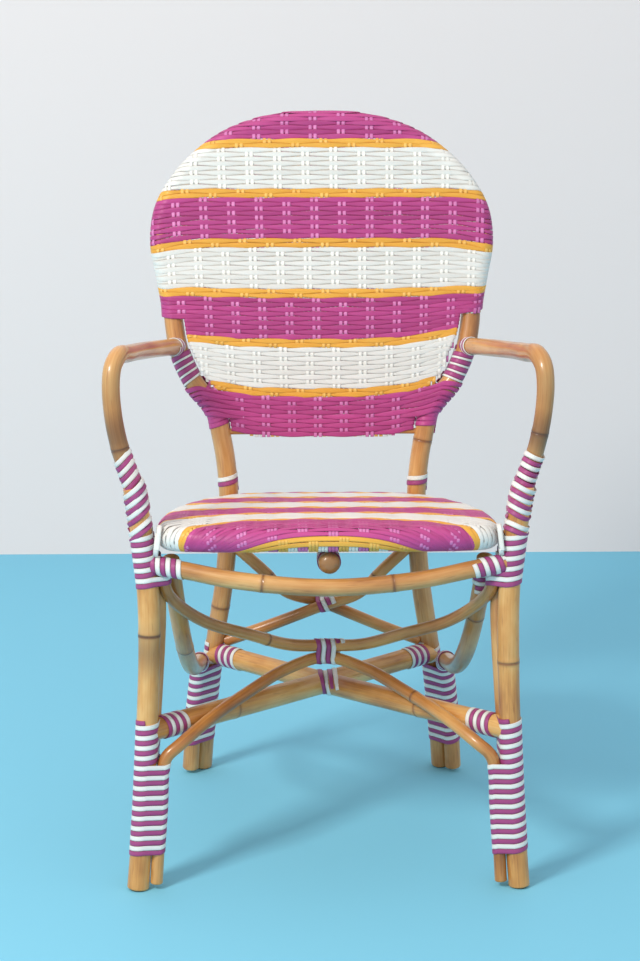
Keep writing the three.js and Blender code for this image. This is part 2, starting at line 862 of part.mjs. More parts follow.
// Woven sheets
// A sheet rises and falls once in every two rows of the weave: the stations of its crests
// and hollows, and how far each stands off the middle.
function crestsBetween(from, to) {
  const count = Math.floor((to - from) / (weaveRepeat / 2));
  const stations = Array.from({ length: count + 1 }, (unused, i) => mix(from, to, i / count));
  return stations.map((station, i) => ({ station, ripple: (i % 2 - 1 / 2) * weaveRelief }));
}

// How far the sheet lies ahead of the centre line of the back frame.
function panelLead(height) {
  const rise = (height - panelBottomHeight) / (panelSleeveEndHeight - panelBottomHeight);
  const overHoop = frameRadius + weaveThickness - (sheetThickness + weaveRelief) / 2;
  return mix(panelBottomLead, overHoop, Math.min(Math.max(rise, 0), 1));
}

function wovenBack(frame, rod, posts, cutters) {
  const arc = frame.line.filter((p) => p.z > panelSleeveEndHeight);
  const sleeve = new Pole(smooth(arc), frameRadius + weaveThickness, arc.length - 1);
  // The outline of the panel seen from the front, down inside the posts to its lower edge.
  const side = posts[1].line.filter((p) => p.z > panelBottomHeight && p.z <= panelSleeveEndHeight);
  const inset = frameRadius + contactGap + panelEdgeInset;
  const down = side.map((p) => new THREE.Vector2(p.x - inset, p.z)).reverse();
  const rightSide = [...down, new THREE.Vector2(down[down.length - 1].x, panelBottomHeight)];
  const leftSide = rightSide.map((p) => new THREE.Vector2(-p.x, p.y)).reverse();
  const top = arc.map((p) => new THREE.Vector2(p.x, p.z));
  const ordered = top[0].x < 0 ? top : top.reverse();
  const outline = new THREE.Shape([...leftSide, ...ordered, ...rightSide]);
  const depth = hoopTopSetback + frameRadius;
  const prism = new THREE.ExtrudeGeometry(outline, { depth, bevelEnabled: false, steps: 1 });
  prism.rotateX(Math.PI / 2);
  prism.translate(0, depth, 0);
  // The side profile: over the front of the hoop, and down to the rod between the posts.
  const crests = crestsBetween(panelBottomHeight - weaveRepeat, hoopTopHeight - rodRadius);
  const middle = crests.map(({ station, ripple }) => (
    new THREE.Vector2(posts[1].at(station).y - panelLead(station) + ripple, station)
  ));
  const front = middle.map((p) => new THREE.Vector2(p.x - sheetThickness / 2, p.y));
  const back = middle.map((p) => new THREE.Vector2(p.x + sheetThickness / 2, p.y)).reverse();
  const slab = new THREE.ExtrudeGeometry(new THREE.Shape([...front, ...back]), {
    depth: 2 * hoopHalfWidth, bevelEnabled: false, steps: 1,
  });
  slab.rotateX(Math.PI / 2);
  slab.rotateZ(Math.PI / 2);
  slab.translate(-hoopHalfWidth, 0, 0);
  const sheet = solidOf(prism).intersect(solidOf(slab));
  const rodSleeve = new Pole(rod.curve, rodRadius + weaveThickness, 1, slimSides);
  const lowEdge = rodSleeve.solid();
  return cut(sheet.add(sleeve.solid()).add(lowEdge), frame.seat(), rod.seat(), ...cutters);
}

// Woven seat
function wovenSeat(cutters) {
  const stations = ringCurve().getSpacedPoints(ringSteps).slice(0, -1);
  const outline = new THREE.Shape(stations.map((p) => new THREE.Vector2(p.x, p.y)));
  const settings = { depth: weaveThickness, bevelEnabled: false, steps: 1 };
  const sheet = new THREE.ExtrudeGeometry(outline, settings);
  const position = sheet.attributes.position;
  const lift = ringRadius + seatCrown - weaveThickness;
  for (let i = 0; i < position.count; i += 1) {
    position.setZ(i, position.getZ(i) + lift + ringHeightAt(position.getY(i)));
  }
  const cover = closedRing(ringRadius + weaveThickness);
  return cut(cover.add(solidOf(sheet)), ringSeat(), ...cutters);
}

// Where the ring meets a front leg and a back post it is bare on its outer side.
function bareCorners(side, leg, post) {
  const near = leg.at(ringFrontHeight).y - legRadius - stripThickness;
  const inner = ringHalfWidth * side;
  const outer = (ringHalfWidth + overrun) * side;
  const behind = post.at(ringRearHeight);
  const reach = frameRadius + ringRadius;
  return [
    box(
      Math.min(inner, outer), near, ringFrontHeight - overrun,
      Math.max(inner, outer), near + seatWindowLength, ringFrontHeight + ringRadius / 2,
    ),
    box(
      behind.x - reach, behind.y - ringRadius, ringRearHeight - overrun,
      behind.x + reach, behind.y + reach, ringRearHeight + ringRadius / 2,
    ),
  ];
}

// Building the chair
const sides = [['left', -1], ['right', 1]];
const frame = backPole();
const posts = sides.map(([, side]) => backHalf(side, frame));
const legs = sides.map(([, side]) => legPole(side));
const arms = sides.map(([, side], i) => armPole(side, legs[i], posts[i]));
const rail = railPole(legs[1]);
const bearer = bearerPole();
const stretchers = sides.map(([, side], i) => stretcherPole(side, legs[i], posts[1 - i]));
const lowerBrace = lowerBracePole(legs[1]);
const upperBrace = upperBracePole(legs[1]);
const sideBraces = sides.map(([, side], i) => sideBracePole(side, posts[i]));
const rearBraces = sides.map(([, side], i) => rearBracePole(side, posts[i]));
const rod = bottomRod(posts);
const endTrim = stripWidth / 2 + contactGap;

// The half of a mirrored pole on one side.
function halfOf(pole, side) {
  const line = pole.line.filter((p) => p.x * side > -contactGap);
  return { line, radius: pole.radius, across: Pole.prototype.across };
}

// The stretch of a pole about one place, for planes that would cross it twice.
function nearby(pole, place) {
  const line = pole.line.filter((p) => p.distanceTo(place) < jointReach);
  return { line, radius: pole.radius, across: Pole.prototype.across };
}

// The same pole with its last stretch lengthened, for lashings that pass its end.
function lengthened(pole, extra) {
  const line = pole.line.slice();
  const last = line[line.length - 1];
  const direction = last.clone().sub(line[line.length - 2]).normalize();
  line.push(last.clone().addScaledVector(direction, extra));
  return { line, radius: pole.radius, across: Pole.prototype.across };
}

function along(pole, from, to) {
  return pole.at(to).sub(pole.at(from)).normalize();
}

function legLashing(i, side, offset, turns) {
  const axis = along(legs[i], legLashingBottom, legLashingTop);
  return new Lashing({
    axis,
    origin: legs[i].at(legLashingBottom).addScaledVector(axis, offset),
    members: [
      { pole: legs[i] },
      { pole: halfOf(lowerBrace, side), to: lowerBraceExitHeight - legLashingBottom - offset },
      { pole: arms[i] },
    ],
    turns,
    phase: Math.PI / 2,
  });
}

const legLashings = sides.map(([, side], i) => legLashing(i, side, 0, legLashingTurns));
const whiteLashings = sides.map(([, side], i) => (
  legLashing(i, side, stripPitch / 2, legLashingTurns - 1 / 2)
));

const jointLashings = sides.map(([, side], i) => new Lashing({
  axis: up,
  origin: legs[i].at(jointLashingBottom),
  members: [
    { pole: legs[i] },
    { pole: arms[i] },
    { pole: halfOf(upperBrace, side) },
  ],
  turns: jointLashingTurns,
  phase: Math.PI / 2,
}));

const armLashings = sides.map((unused, i) => {
  const top = armLashingBottom + armLashingTurns * stripPitch;
  const axis = along(arms[i], armLashingBottom, top);
  return new Lashing({
    axis,
    origin: arms[i].at(armLashingBottom),
    members: [{ pole: arms[i] }, { pole: legs[i] }],
    turns: armLashingTurns,
    phase: Math.PI / 2,
  });
});

const backLegLashings = sides.map((unused, i) => new Lashing({
  axis: along(posts[i], backLegLashingBottom, sideBraceMeetHeight),
  origin: posts[i].at(backLegLashingBottom),
  members: [{ pole: posts[i] }, { pole: sideBraces[i] }],
  turns: backLegLashingTurns,
  phase: Math.PI / 2,
}));

function postLashing(i, from, turns) {
  return new Lashing({
    axis: along(posts[i], from, from + turns * stripPitch),
    origin: posts[i].at(from),
    members: [{ pole: posts[i] }],
    turns,
    phase: Math.PI / 2 + Math.PI / turnSteps,
    gap: crossingGap,
  });
}

const cornerLashings = sides.map((unused, i) => (
  postLashing(i, cornerLashingBottom, cornerLashingTurns)
));
const seatPostLashings = sides.map((unused, i) => (
  postLashing(i, ringRearHeight + ringRadius + weaveThickness + stripWidth, postLashingTurns)
));

// The arm meets the post in an elbow: the loops lie between square to one and to the other.
const armBackLashings = sides.map((unused, i) => {
  const end = arms[i].line[arms[i].line.length - 1];
  const run = end.clone().sub(arms[i].line[arms[i].line.length - 3]).normalize();
  const down = along(posts[i], armBackHeight, armBackHeight - legRadius);
  const axis = down.clone().addScaledVector(run, elbowShare).normalize();
  return new Lashing({
    axis,
    origin: end.clone().addScaledVector(axis, -armBackLashingLead),
    members: [
      { pole: nearby(posts[i], end) },
      { pole: lengthened(nearby(arms[i], end), frameRadius) },
    ],
    turns: armBackLashingTurns,
    phase: -Math.PI / 2,
    gap: elbowGap,
  });
});

// Each stretcher is bound near both ends, clear of the lashings that its ends seat on.
function endLashing(pole, end) {
  const line = end === 'front' ? pole.line : pole.line.slice().reverse();
  const axis = line[1].clone().sub(line[0]).normalize();
  const margin = end === 'front' ? frontEndMargin : rearEndMargin;
  return new Lashing({
    axis,
    origin: line[0].clone().addScaledVector(axis, margin),
    members: [{ pole }],
    turns: endLashingTurns,
    phase: Math.PI / 2,
  });
}

const across = point(1, 0, 0);

function middleLashing(members, turns) {
  return new Lashing({
    axis: across,
    origin: point((-turns * stripPitch) / 2, 0, 0),
    members: members.map((pole) => ({ pole })),
    turns,
    phase: Math.PI / 2,
    gap: crossingGap,
  });
}

const crossLashing = middleLashing(stretchers, tieLashingTurns);
const tieLashing = middleLashing([upperBrace, lowerBrace], tieLashingTurns);
const rearTieLashing = middleLashing(rearBraces, tieLashingTurns);
const bearerLashing = new Lashing({
  axis: point(0, 1, 0),
  origin: point(0, ringRadius + weaveThickness - ringFrontOverhang + stripWidth, 0),
  members: [{ pole: bearer }],
  turns: tieLashingTurns,
});

// Trimming blocks: the floor side, and the height bands where pieces are relieved.
const wide = 2 * armHalfWidth;
const deep = 2 * backFootSetback;
const floorCut = box(-wide, -deep, -deep, wide, deep, glideThickness + contactGap);
const above = (height) => box(-wide, -deep, height, wide, deep, 2 * deep);
const below = (height) => box(-wide, -deep, -deep, wide, deep, height);
const band = (low, high) => box(-wide, -deep, low, wide, deep, high);

const legEnvelopes = legLashings.map((lashing) => lashing.envelope());
const jointEnvelopes = jointLashings.map((lashing) => lashing.envelope());
const backLegEnvelopes = backLegLashings.map((lashing) => lashing.envelope());
const cornerEnvelopes = cornerLashings.map((lashing) => lashing.envelope());
const armBackEnvelopes = armBackLashings.map((lashing) => lashing.envelope());
const legSeats = legs.map((pole) => pole.seat());
const armSeats = arms.map((pole) => pole.seat());
const frameSeat = frame.seat();
const stretcherSeats = stretchers.map((pole) => pole.seat());

// Screws: arm to post, ring to leg, ring to post. Their heads lie below the surface.
function screwAt(centre, radius, direction) {
  const head = centre.clone().addScaledVector(direction, screwSink - radius);
  return { from: head, to: head.clone().add(direction) };
}

const screws = [];
sides.forEach(([name, side], i) => {
  const end = arms[i].line[arms[i].line.length - 1];
  const back = arms[i].line[arms[i].line.length - 3].clone().sub(end).normalize();
  screws.push({ name: `arm_screw_${name}`, ...screwAt(posts[i].at(armBackHeight), frameRadius, back) });
  const leg = legs[i].at(ringHeightAt(frontLegSetback));
  const inward = point(-side, 0, 0);
  screws.push({ name: `leg_screw_${name}`, ...screwAt(leg, legRadius, inward) });
  const post = posts[i].at(ringRearHeight);
  const forward = point(-side, -1, 0).normalize();
  screws.push({ name: `post_screw_${name}`, ...screwAt(post, frameRadius, forward) });
});
const screwHoles = screws.map(({ from, to }) => screw(from, to, contactGap));

// Pieces
addPiece('back_frame', cut(frame.solid(), floorCut, ...screwHoles), 'rattan');
sides.forEach(([name], i) => {
  const top = above(frontLegTopHeight - endTrim);
  addPiece(`front_leg_${name}`, cut(legs[i].solid(), floorCut, top, ...screwHoles), 'rattan');
  const foot = below(armFootHeight + endTrim);
  addPiece(`arm_${name}`, cut(arms[i].solid(), foot, frameSeat, ...screwHoles), 'rattan');
});
const endGap = box(-ringEndGap / 2, 0, 0, ringEndGap / 2, deep, deep);
const ringCutters = [endGap, frameSeat, ...legSeats, ...armSeats, ...jointEnvelopes, ...screwHoles];
addPiece('seat_ring', cut(closedRing(ringRadius), ...ringCutters), 'rattan');
addPiece('front_rail', cut(rail.solid(), ...legSeats, ...jointEnvelopes), 'rattan');
addPiece('seat_bearer', cut(bearer.solid(), frameSeat), 'rattan');

const underLap = below(crossHeight + contactGap / 2);
const overLap = above(crossHeight - contactGap / 2);
sides.forEach(([name], i) => {
  const lap = i === 0 ? overLap : underLap;
  addPiece(`stretcher_${name}`, cut(
    stretchers[i].solid(),
    stretcherSeats[1 - i].intersect(lap),
    frameSeat, ...legSeats, ...armSeats, ...legEnvelopes, ...backLegEnvelopes,
  ), 'rattan');
});

const braceRelief = band(lowerBraceExitHeight - 2 * endTrim, lowerBraceExitHeight + 2 * legRadius);
const reliefs = legs.map((leg) => leg.seat(4 * crossingGap + 2 * stripThickness).intersect(braceRelief));
const frontEnds = stretchers.map((pole) => endLashing(pole, 'front').envelope());
addPiece('lower_brace', cut(
  lowerBrace.solid(), floorCut, ...legSeats, ...reliefs, ...stretcherSeats, ...frontEnds,
), 'slim');
addPiece('upper_brace', cut(
  upperBrace.solid(), above(upperBraceEndHeight - endTrim), ...legSeats, ...armSeats,
), 'slim');
const coverSeat = ringSeat(weaveThickness + contactGap);
sides.forEach(([name], i) => {
  addPiece(`side_brace_${name}`, cut(
    sideBraces[i].solid(), floorCut, frameSeat, armSeats[i], jointEnvelopes[i], coverSeat,
    upperBrace.seat(),
  ), 'rattan');
});
const rearEnds = stretchers.map((pole) => endLashing(pole, 'rear').envelope());
sides.forEach(([name], i) => {
  const lapped = i === 0 ? [] : [rearBraces[0].seat()];
  addPiece(`rear_brace_${name}`, cut(
    rearBraces[i].solid(), ...lapped, frameSeat, ...stretcherSeats, ...backLegEnvelopes, ...rearEnds,
  ), 'slim');
});
addPiece('back_bottom_rod', cut(rod.solid(), frameSeat), 'slim');
addPiece('woven_back', wovenBack(frame, rod, posts, [...cornerEnvelopes, ...armBackEnvelopes]), 'weave');
const corners = sides.flatMap(([, side], i) => bareCorners(side, legs[i], posts[i]));
addPiece('woven_seat', wovenSeat([
  ...corners, frameSeat, ...legSeats, ...armSeats, ...jointEnvelopes, ...screwHoles,
]), 'weave');

sides.forEach(([name], i) => {
  addLashing(`front_leg_lashing_${name}`, legLashings[i]);
  addLashing(`front_leg_lashing_white_${name}`, whiteLashings[i], 'white');
  addLashing(`seat_joint_lashing_${name}`, jointLashings[i]);
  addLashing(`arm_lashing_${name}`, armLashings[i]);
  addLashing(`arm_back_lashing_${name}`, armBackLashings[i]);
  addLashing(`back_corner_lashing_${name}`, cornerLashings[i]);
  addLashing(`back_leg_lashing_${name}`, backLegLashings[i]);
  addLashing(`post_lashing_${name}`, seatPostLashings[i], 'white');
  addLashing(`stretcher_front_lashing_${name}`, endLashing(stretchers[i], 'front'));
  addLashing(`stretcher_rear_lashing_${name}`, endLashing(stretchers[i], 'rear'));
  addPiece(`front_glide_${name}`, glide(legs[i].at(glideThickness)), 'glide');
  addPiece(`back_glide_${name}`, glide(posts[i].at(glideThickness)), 'glide');
});
addLashing('cross_lashing', crossLashing);
addLashing('tie_lashing', tieLashing);
addLashing('rear_tie_lashing', rearTieLashing);
addLashing('bearer_lashing', bearerLashing);
screws.forEach(({ name, from, to }) => addPiece(name, screw(from, to), 'steel'));

// Stand the chair centred on its own footprint.
const bounds = new THREE.Box3().setFromObject(chair);
const centre = bounds.getCenter(new THREE.Vector3());
chair.children.forEach((piece) => piece.position.set(-centre.x, -centre.y, -bounds.min.z));

export default chair;
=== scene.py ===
"""A rattan bistro armchair: bent poles, two-colour lashings, a woven back and a woven seat."""
import logging
import math
from dataclasses import dataclass, field
from enum import Enum
from functools import partial
from typing import Callable, ClassVar, Iterable, Optional, Sequence

import bmesh
import bpy
import numpy as np
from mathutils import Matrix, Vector


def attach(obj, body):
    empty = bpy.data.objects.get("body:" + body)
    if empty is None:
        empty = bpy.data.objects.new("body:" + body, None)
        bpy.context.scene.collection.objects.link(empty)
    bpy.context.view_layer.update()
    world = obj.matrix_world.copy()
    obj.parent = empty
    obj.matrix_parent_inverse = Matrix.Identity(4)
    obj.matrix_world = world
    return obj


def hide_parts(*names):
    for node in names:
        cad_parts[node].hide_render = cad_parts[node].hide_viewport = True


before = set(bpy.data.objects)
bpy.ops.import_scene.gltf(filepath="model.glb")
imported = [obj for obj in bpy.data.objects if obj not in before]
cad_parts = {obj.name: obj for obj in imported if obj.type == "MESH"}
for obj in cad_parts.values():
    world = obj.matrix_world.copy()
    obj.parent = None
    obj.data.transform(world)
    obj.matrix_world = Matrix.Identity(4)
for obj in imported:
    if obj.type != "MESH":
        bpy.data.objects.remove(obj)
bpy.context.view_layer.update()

log = logging.getLogger("bistro_chair")

MM = 0.001
TURN = 2 * math.pi
LAYOUT_SHIFT = np.array([0.0, -244.665, 0.0])
UP = np.array([0.0, 0.0, 1.0])
FORWARD = np.array([0.0, -1.0, 0.0])
BACKWARD = np.array([0.0, 1.0, 0.0])
ACROSS = np.array([1.0, 0.0, 0.0])
ROOT = "root"
RUN_MAP = "run"
MARKS = "marks"
STRAND = "strand"
WELD = 1e-7


class Side(Enum):
    """The two sides of the chair, as seen from the front."""

    LEFT = -1
    RIGHT = 1

    @property
    def word(self) -> str:
        """The word that ends the names of this side's pieces."""
        return self.name.lower()


class Strip(Enum):
    """The colours of the binding and weaving strips."""

    MAGENTA = "magenta"
    WHITE = "white"
    SAFFRON = "saffron"


def mix(a: float, b: float, share: float) -> float:
    """The value that lies a share of the way from a to b."""
    return a + (b - a) * share


def unit(vector: np.ndarray) -> np.ndarray:
    """The vector at length one."""
    return vector / np.linalg.norm(vector)


def units(vectors: np.ndarray) -> np.ndarray:
    """Each vector of a row at length one."""
    return vectors / np.maximum(np.linalg.norm(vectors, axis=1), 1e-9)[:, None]


def headings(points: np.ndarray) -> np.ndarray:
    """The unit directions of a path at its points."""
    return units(np.gradient(points, axis=0))


def unbroken(numbers: np.ndarray) -> list[np.ndarray]:
    """The stretches of a rising row of whole numbers that leave none out."""
    parts = np.split(numbers, np.nonzero(np.diff(numbers) > 1)[0] + 1)
    return [part for part in parts if len(part)]


def to_metres(points: np.ndarray) -> np.ndarray:
    """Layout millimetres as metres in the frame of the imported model."""
    return (points + LAYOUT_SHIFT) * MM


def srgb(red: float, green: float, blue: float) -> tuple[float, float, float, float]:
    """Makes a linear colour of a screen colour."""
    shares = np.array([red, green, blue]) / 255.0
    linear = np.where(shares <= 0.04045, shares / 12.92, ((shares + 0.055) / 1.055) ** 2.4)
    return (*(float(c) for c in linear), 1.0)


# Centre lines


class Line:
    """A centre line of many points, in layout millimetres, with its running length."""

    def __init__(self, points: np.ndarray) -> None:
        """Keeps the points and adds up their running length."""
        self.points = np.asarray(points, float)
        steps = np.linalg.norm(np.diff(self.points, axis=0), axis=1)
        self.run = np.concatenate([[0.0], np.cumsum(steps)])

    @classmethod
    def straight(cls, start: Sequence[float], end: Sequence[float], count: int = 12) -> "Line":
        """A straight line of evenly spaced points."""
        return cls(np.linspace(start, end, count))

    @property
    def length(self) -> float:
        """The whole length."""
        return float(self.run[-1])

    def place(self, runs: np.ndarray) -> np.ndarray:
        """The points at these running lengths."""
        return np.stack([np.interp(runs, self.run, self.points[:, k]) for k in range(3)], -1)

    def across(self, axis: np.ndarray, station: float) -> Optional[tuple[np.ndarray, np.ndarray]]:
        """Where the line first crosses a plane.

        Args:
            axis: The unit normal of the plane.
            station: The distance of the plane along the axis.

        Returns:
            The crossing point and the line's direction there, or None.
        """
        off = self.points @ axis - station
        hits = np.nonzero((off[:-1] == 0) | (off[:-1] * off[1:] < 0))[0]
        if not len(hits):
            return None
        i = int(hits[0])
        share = off[i] / (off[i] - off[i + 1])
        start, end = self.points[i], self.points[i + 1]
        return start + (end - start) * share, unit(end - start)

    def at(self, height: float) -> np.ndarray:
        """The point where the line first crosses a height."""
        return self.across(UP, height)[0]

    def run_at(self, height: float) -> float:
        """The running length at which the line first crosses a height."""
        apart = np.linalg.norm(self.points - self.at(height), axis=1)
        return float(self.run[np.argmin(apart)])

    def kept(self, keep: np.ndarray) -> "Line":
        """The stretch of the line whose points are marked as kept."""
        return Line(self.points[keep])

    def above(self, height: float) -> "Line":
        """The stretch of the line that lies above a height."""
        return self.kept(self.points[:, 2] > height)


def smooth(points: Iterable[Sequence[float]], closed: bool = False, steps: int = 26) -> Line:
    """A centripetal spline through the points.

    Args:
        points: The points to pass through.
        closed: Whether the last point joins the first.
        steps: How many steps the line takes from one point to the next.

    Returns:
        The spline as a line.
    """
    knots = np.asarray(list(points), float)
    if closed:
        before, after = knots[-1:], knots[:2]
    else:
        before, after = 2 * knots[:1] - knots[1:2], 2 * knots[-1:] - knots[-2:-1]
    rows = np.concatenate([before, knots, after])
    spans = len(knots) if closed else len(knots) - 1
    t = np.arange(steps)[:, None] / steps
    stretches = []
    for i in range(spans):
        p0, p1, p2, p3 = rows[i:i + 4]
        d0, d1, d2 = (max(float(np.linalg.norm(b - a)), 1e-6) ** 0.5
                      for a, b in ((p0, p1), (p1, p2), (p2, p3)))
        m1 = ((p1 - p0) / d0 - (p2 - p0) / (d0 + d1) + (p2 - p1) / d1) * d1
        m2 = ((p2 - p1) / d1 - (p3 - p1) / (d1 + d2) + (p3 - p2) / d2) * d1
        c2 = -3 * p1 + 3 * p2 - 2 * m1 - m2
        c3 = 2 * p1 - 2 * p2 + m1 + m2
        stretches.append(p1 + m1 * t + c2 * t ** 2 + c3 * t ** 3)
    stretches.append(knots[:1] if closed else knots[-1:])
    return Line(np.concatenate(stretches))


def bowed(rows: Sequence[Sequence[float]],
          place: Callable[[Sequence[float], int], tuple[float, float, float]]) -> Line:
    """A symmetric line through the places of its rows, from right to left."""
    right = [place(row, 1) for row in rows]
    return smooth(right + [place(row, -1) for row in rows[-2::-1]])


@dataclass
class Layout:
    """The sizes of the chair's layout, in millimetres, and the centre lines of its poles.

    The front feet stand on the line y = 0 and the sitter faces -y. A side is 1 for the right
    one and -1 for the left, and the lines across the chair run from right to left.
    """

    leg_radius: float = 13.0
    arm_radius: float = 10.8
    frame_radius: float = 12.5
    ring_radius: float = 11.5
    rail_radius: float = 10.5
    bearer_radius: float = 13.0
    stretcher_radius: float = 13.8
    brace_radius: float = 7.6
    side_brace_radius: float = 11.0
    rear_brace_radius: float = 8.0
    rod_radius: float = 4.0
    gap: float = 0.3
    foot_half: float = 232.0
    seat_half: float = 214.0
    leg_setback: float = 12.0
    lean_height: float = 310.0
    leg_top: float = 498.0
    arm_half: float = 256.0
    arm_top: float = 646.0
    arm_back: float = 597.0
    arm_foot: float = 150.0
    arm_inset: float = 10.0
    post_half: float = 124.5
    back_foot_half: float = 165.0
    post_setback: float = 388.0
    back_foot_setback: float = 450.0
    hoop_half: float = 211.0
    hoop_top: float = 883.0
    hoop_setback: float = 500.0
    ring_half: float = 192.0
    ring_overhang: float = 8.0
    ring_front: float = 438.0
    ring_rear: float = 388.0
    rail_height: float = 405.0
    rail_bow: float = 28.0
    rail_sag: float = 23.0
    bearer_overrun: float = 4.0
    bearer_drop: float = 28.8
    stretcher_front: float = 199.0
    stretcher_rear: float = 174.5
    cross_setback: float = 246.0
    cross_height: float = 184.0
    brace_reach: float = 215.0
    brace_height: float = 227.5
    brace_exit: float = 156.0
    upper_brace_end: float = 393.0
    side_brace_top: float = 402.0
    side_brace_meet: float = 168.0
    side_brace_out: float = 17.14
    rear_brace_top: float = 328.0
    rear_brace_foot: float = 192.0
    rear_cross_height: float = 246.0
    rear_cross_drop: float = 54.0
    rear_cross_rise: float = 82.0
    rear_cross_apart: float = 8.15
    rod_height: float = 486.0

    def leg(self, side: int) -> Line:
        """The centre line of a front leg, from the foot up."""
        flare, points = self.foot_half - self.seat_half, []
        for low, high, rows in (
                (0, self.lean_height, [(-0.06, 1.07, 0), (0.36, 0.5, 0.36), (1, 0, 0.72)]),
                (self.lean_height, self.leg_top,
                 [(0.35, 0.05, 0.95), (0.6, 0.32, 1), (0.85, 0.62, 1), (1, 0.86, 1)])):
            points += [(side * (self.seat_half + flare * spread), self.leg_setback * back,
                        mix(low, high, rise)) for rise, spread, back in rows]
        return smooth(points)

    def arm(self, side: int) -> Line:
        """The centre line of an arm, from its foot behind the leg to the back post."""
        leg, end = self.leg(side), self.post(side).at(self.arm_back)
        spacing = self.leg_radius + self.arm_radius + self.gap
        points = []
        for rise, inward in [(0, 0.3), (0.3, 0.6), (0.6, 0.9), (0.74, 0.75), (0.86, 0.1),
                             (1, -0.02)]:
            seat = leg.at(mix(self.arm_foot, self.leg_top - self.leg_radius, rise))
            points.append((seat[0] - side * self.arm_inset * inward, seat[1] + spacing, seat[2]))
        last = points[-1]
        rows = [(0.36, -0.004, 0.17), (0.64, -0.006, 0.33), (0.9, -0.004, 0.56), (1, 0.004, 0.79),
                (0.93, 0.02, 0.93), (0.74, 0.062, 0.995), (0.46, 0.2, 0.96)]
        points += [(mix(last[0], side * self.arm_half, out), mix(last[1], end[1], back),
                    mix(last[2], self.arm_top, rise)) for out, back, rise in rows]
        knee = points[-1]
        points += [(mix(end[0], knee[0], out), mix(knee[1], end[1], back),
                    mix(knee[2], end[2], back))
                   for out, back in [(0.74, 0.42), (0.4, 0.74), (0.1, 0.94), (0, 1)]]
        return smooth(points)

    def back_frame(self) -> Line:
        """The centre line of the back frame, from the right foot over the hoop to the left."""
        rows = [(-0.05, 1.04, 1.02), (0.2, 0.84, 0.7), (0.5, 0.5, 0.36), (0.74, 0.16, 0.12),
                (1, 0, 0)]
        half = [(mix(self.post_half, self.back_foot_half, out),
                 mix(self.post_setback, self.back_foot_setback, back),
                 self.ring_rear * rise) for rise, out, back in rows]
        rows = [(0.04, 0.115, 0), (0.116, 0.194, 0.015), (0.202, 0.259, 0.044),
                (0.526, 0.331, 0.092), (0.74, 0.412, 0.159), (0.815, 0.479, 0.226),
                (0.842, 0.539, 0.29), (0.919, 0.61, 0.376), (1, 0.691, 0.482),
                (0.948, 0.77, 0.597), (0.75, 0.835, 0.703), (0.43, 0.8965, 0.81),
                (-0.04, 0.9535, 0.916), (-0.66, 0.99, 0.985), (-1.185, 1, 1)]
        half += [(mix(self.post_half, self.hoop_half, out),
                  mix(self.post_setback, self.hoop_setback, back),
                  mix(self.ring_rear, self.hoop_top, rise)) for out, rise, back in rows]
        return smooth(half + [(-x, y, z) for x, y, z in reversed(half)])

    def post(self, side: int) -> Line:
        """The half of the back frame on one side."""
        points = self.back_frame().points
        return Line(points[:len(points) // 2 + 1] * [side, 1, 1])

    def ring_height(self, y: float) -> float:
        """The height of the sloping seat ring's centre line at a setback."""
        depth = self.post_setback + self.ring_overhang
        return mix(self.ring_front, self.ring_rear, (y + self.ring_overhang) / depth)

    def ring(self) -> Line:
        """The closed centre line of the seat ring, from the rear middle."""
        depth = self.post_setback + self.ring_overhang
        rows = [(0, 1), (0.32, 0.992), (0.555, 0.957), (0.7, 0.88), (0.81, 0.775), (0.91, 0.62),
                (0.975, 0.45), (1, 0.29), (0.995, 0.17), (0.988, 0.1), (0.955, 0.05),
                (0.84, 0.024), (0.5, 0.006), (0, 0)]
        rows += [(-wide, deep) for wide, deep in rows[-2:0:-1]]
        points = []
        for wide, deep in rows:
            y = deep * depth - self.ring_overhang
            points.append((wide * self.ring_half, y, self.ring_height(y)))
        return smooth(points, closed=True)

    def rail(self) -> Line:
        """The centre line of the front rail."""
        end = self.leg(1).at(self.rail_height)
        rows = [(1, 0, 0), (0.8, 0.32, 0.24), (0.5, 0.74, 0.68), (0, 1, 1)]
        return bowed(rows, lambda row, side: (
            side * row[0] * end[0], end[1] - self.rail_bow * row[1],
            self.rail_height - self.rail_sag * row[2]))

    def bearer(self) -> Line:
        """The centre line of the bearer under the seat."""
        ys = np.linspace(-self.ring_overhang - self.bearer_overrun, self.post_setback, 60)
        return Line(np.array([(0, y, self.ring_height(y) - self.bearer_drop) for y in ys]))

    def stretcher(self, side: int) -> Line:
        """The centre line of the stretcher from one front leg to the far back leg."""
        middle, rear = (0, self.cross_setback, self.cross_height), self.post(-side)
        return smooth([self.leg(side).at(self.stretcher_front), middle,
                       rear.at(self.stretcher_rear)])

    def lower_brace(self) -> Line:
        """The centre line of the lower brace, which stands beside both front legs."""
        leg, spacing = self.leg(1), self.leg_radius + self.brace_radius + self.gap
        stub = []
        for rise in (-0.12, 0.3, 0.65, 0.98):
            seat = leg.at(max(self.brace_exit * rise, 0.0))
            stub.append((seat[0] - spacing, seat[1], self.brace_exit * rise))
        reach = stub[-1][0]
        rows = [(x / reach, y / self.brace_reach, z / self.brace_height) for x, y, z in stub]
        rows += [(0.975, 0.028, 0.733), (0.9, 0.056, 0.787), (0.708, 0.262, 0.876),
                 (0.47, 0.555, 0.94), (0.262, 0.8, 0.983), (0, 1, 1)]
        return bowed(rows, lambda row, side: (
            side * row[0] * reach, self.brace_reach * row[1], self.brace_height * row[2]))

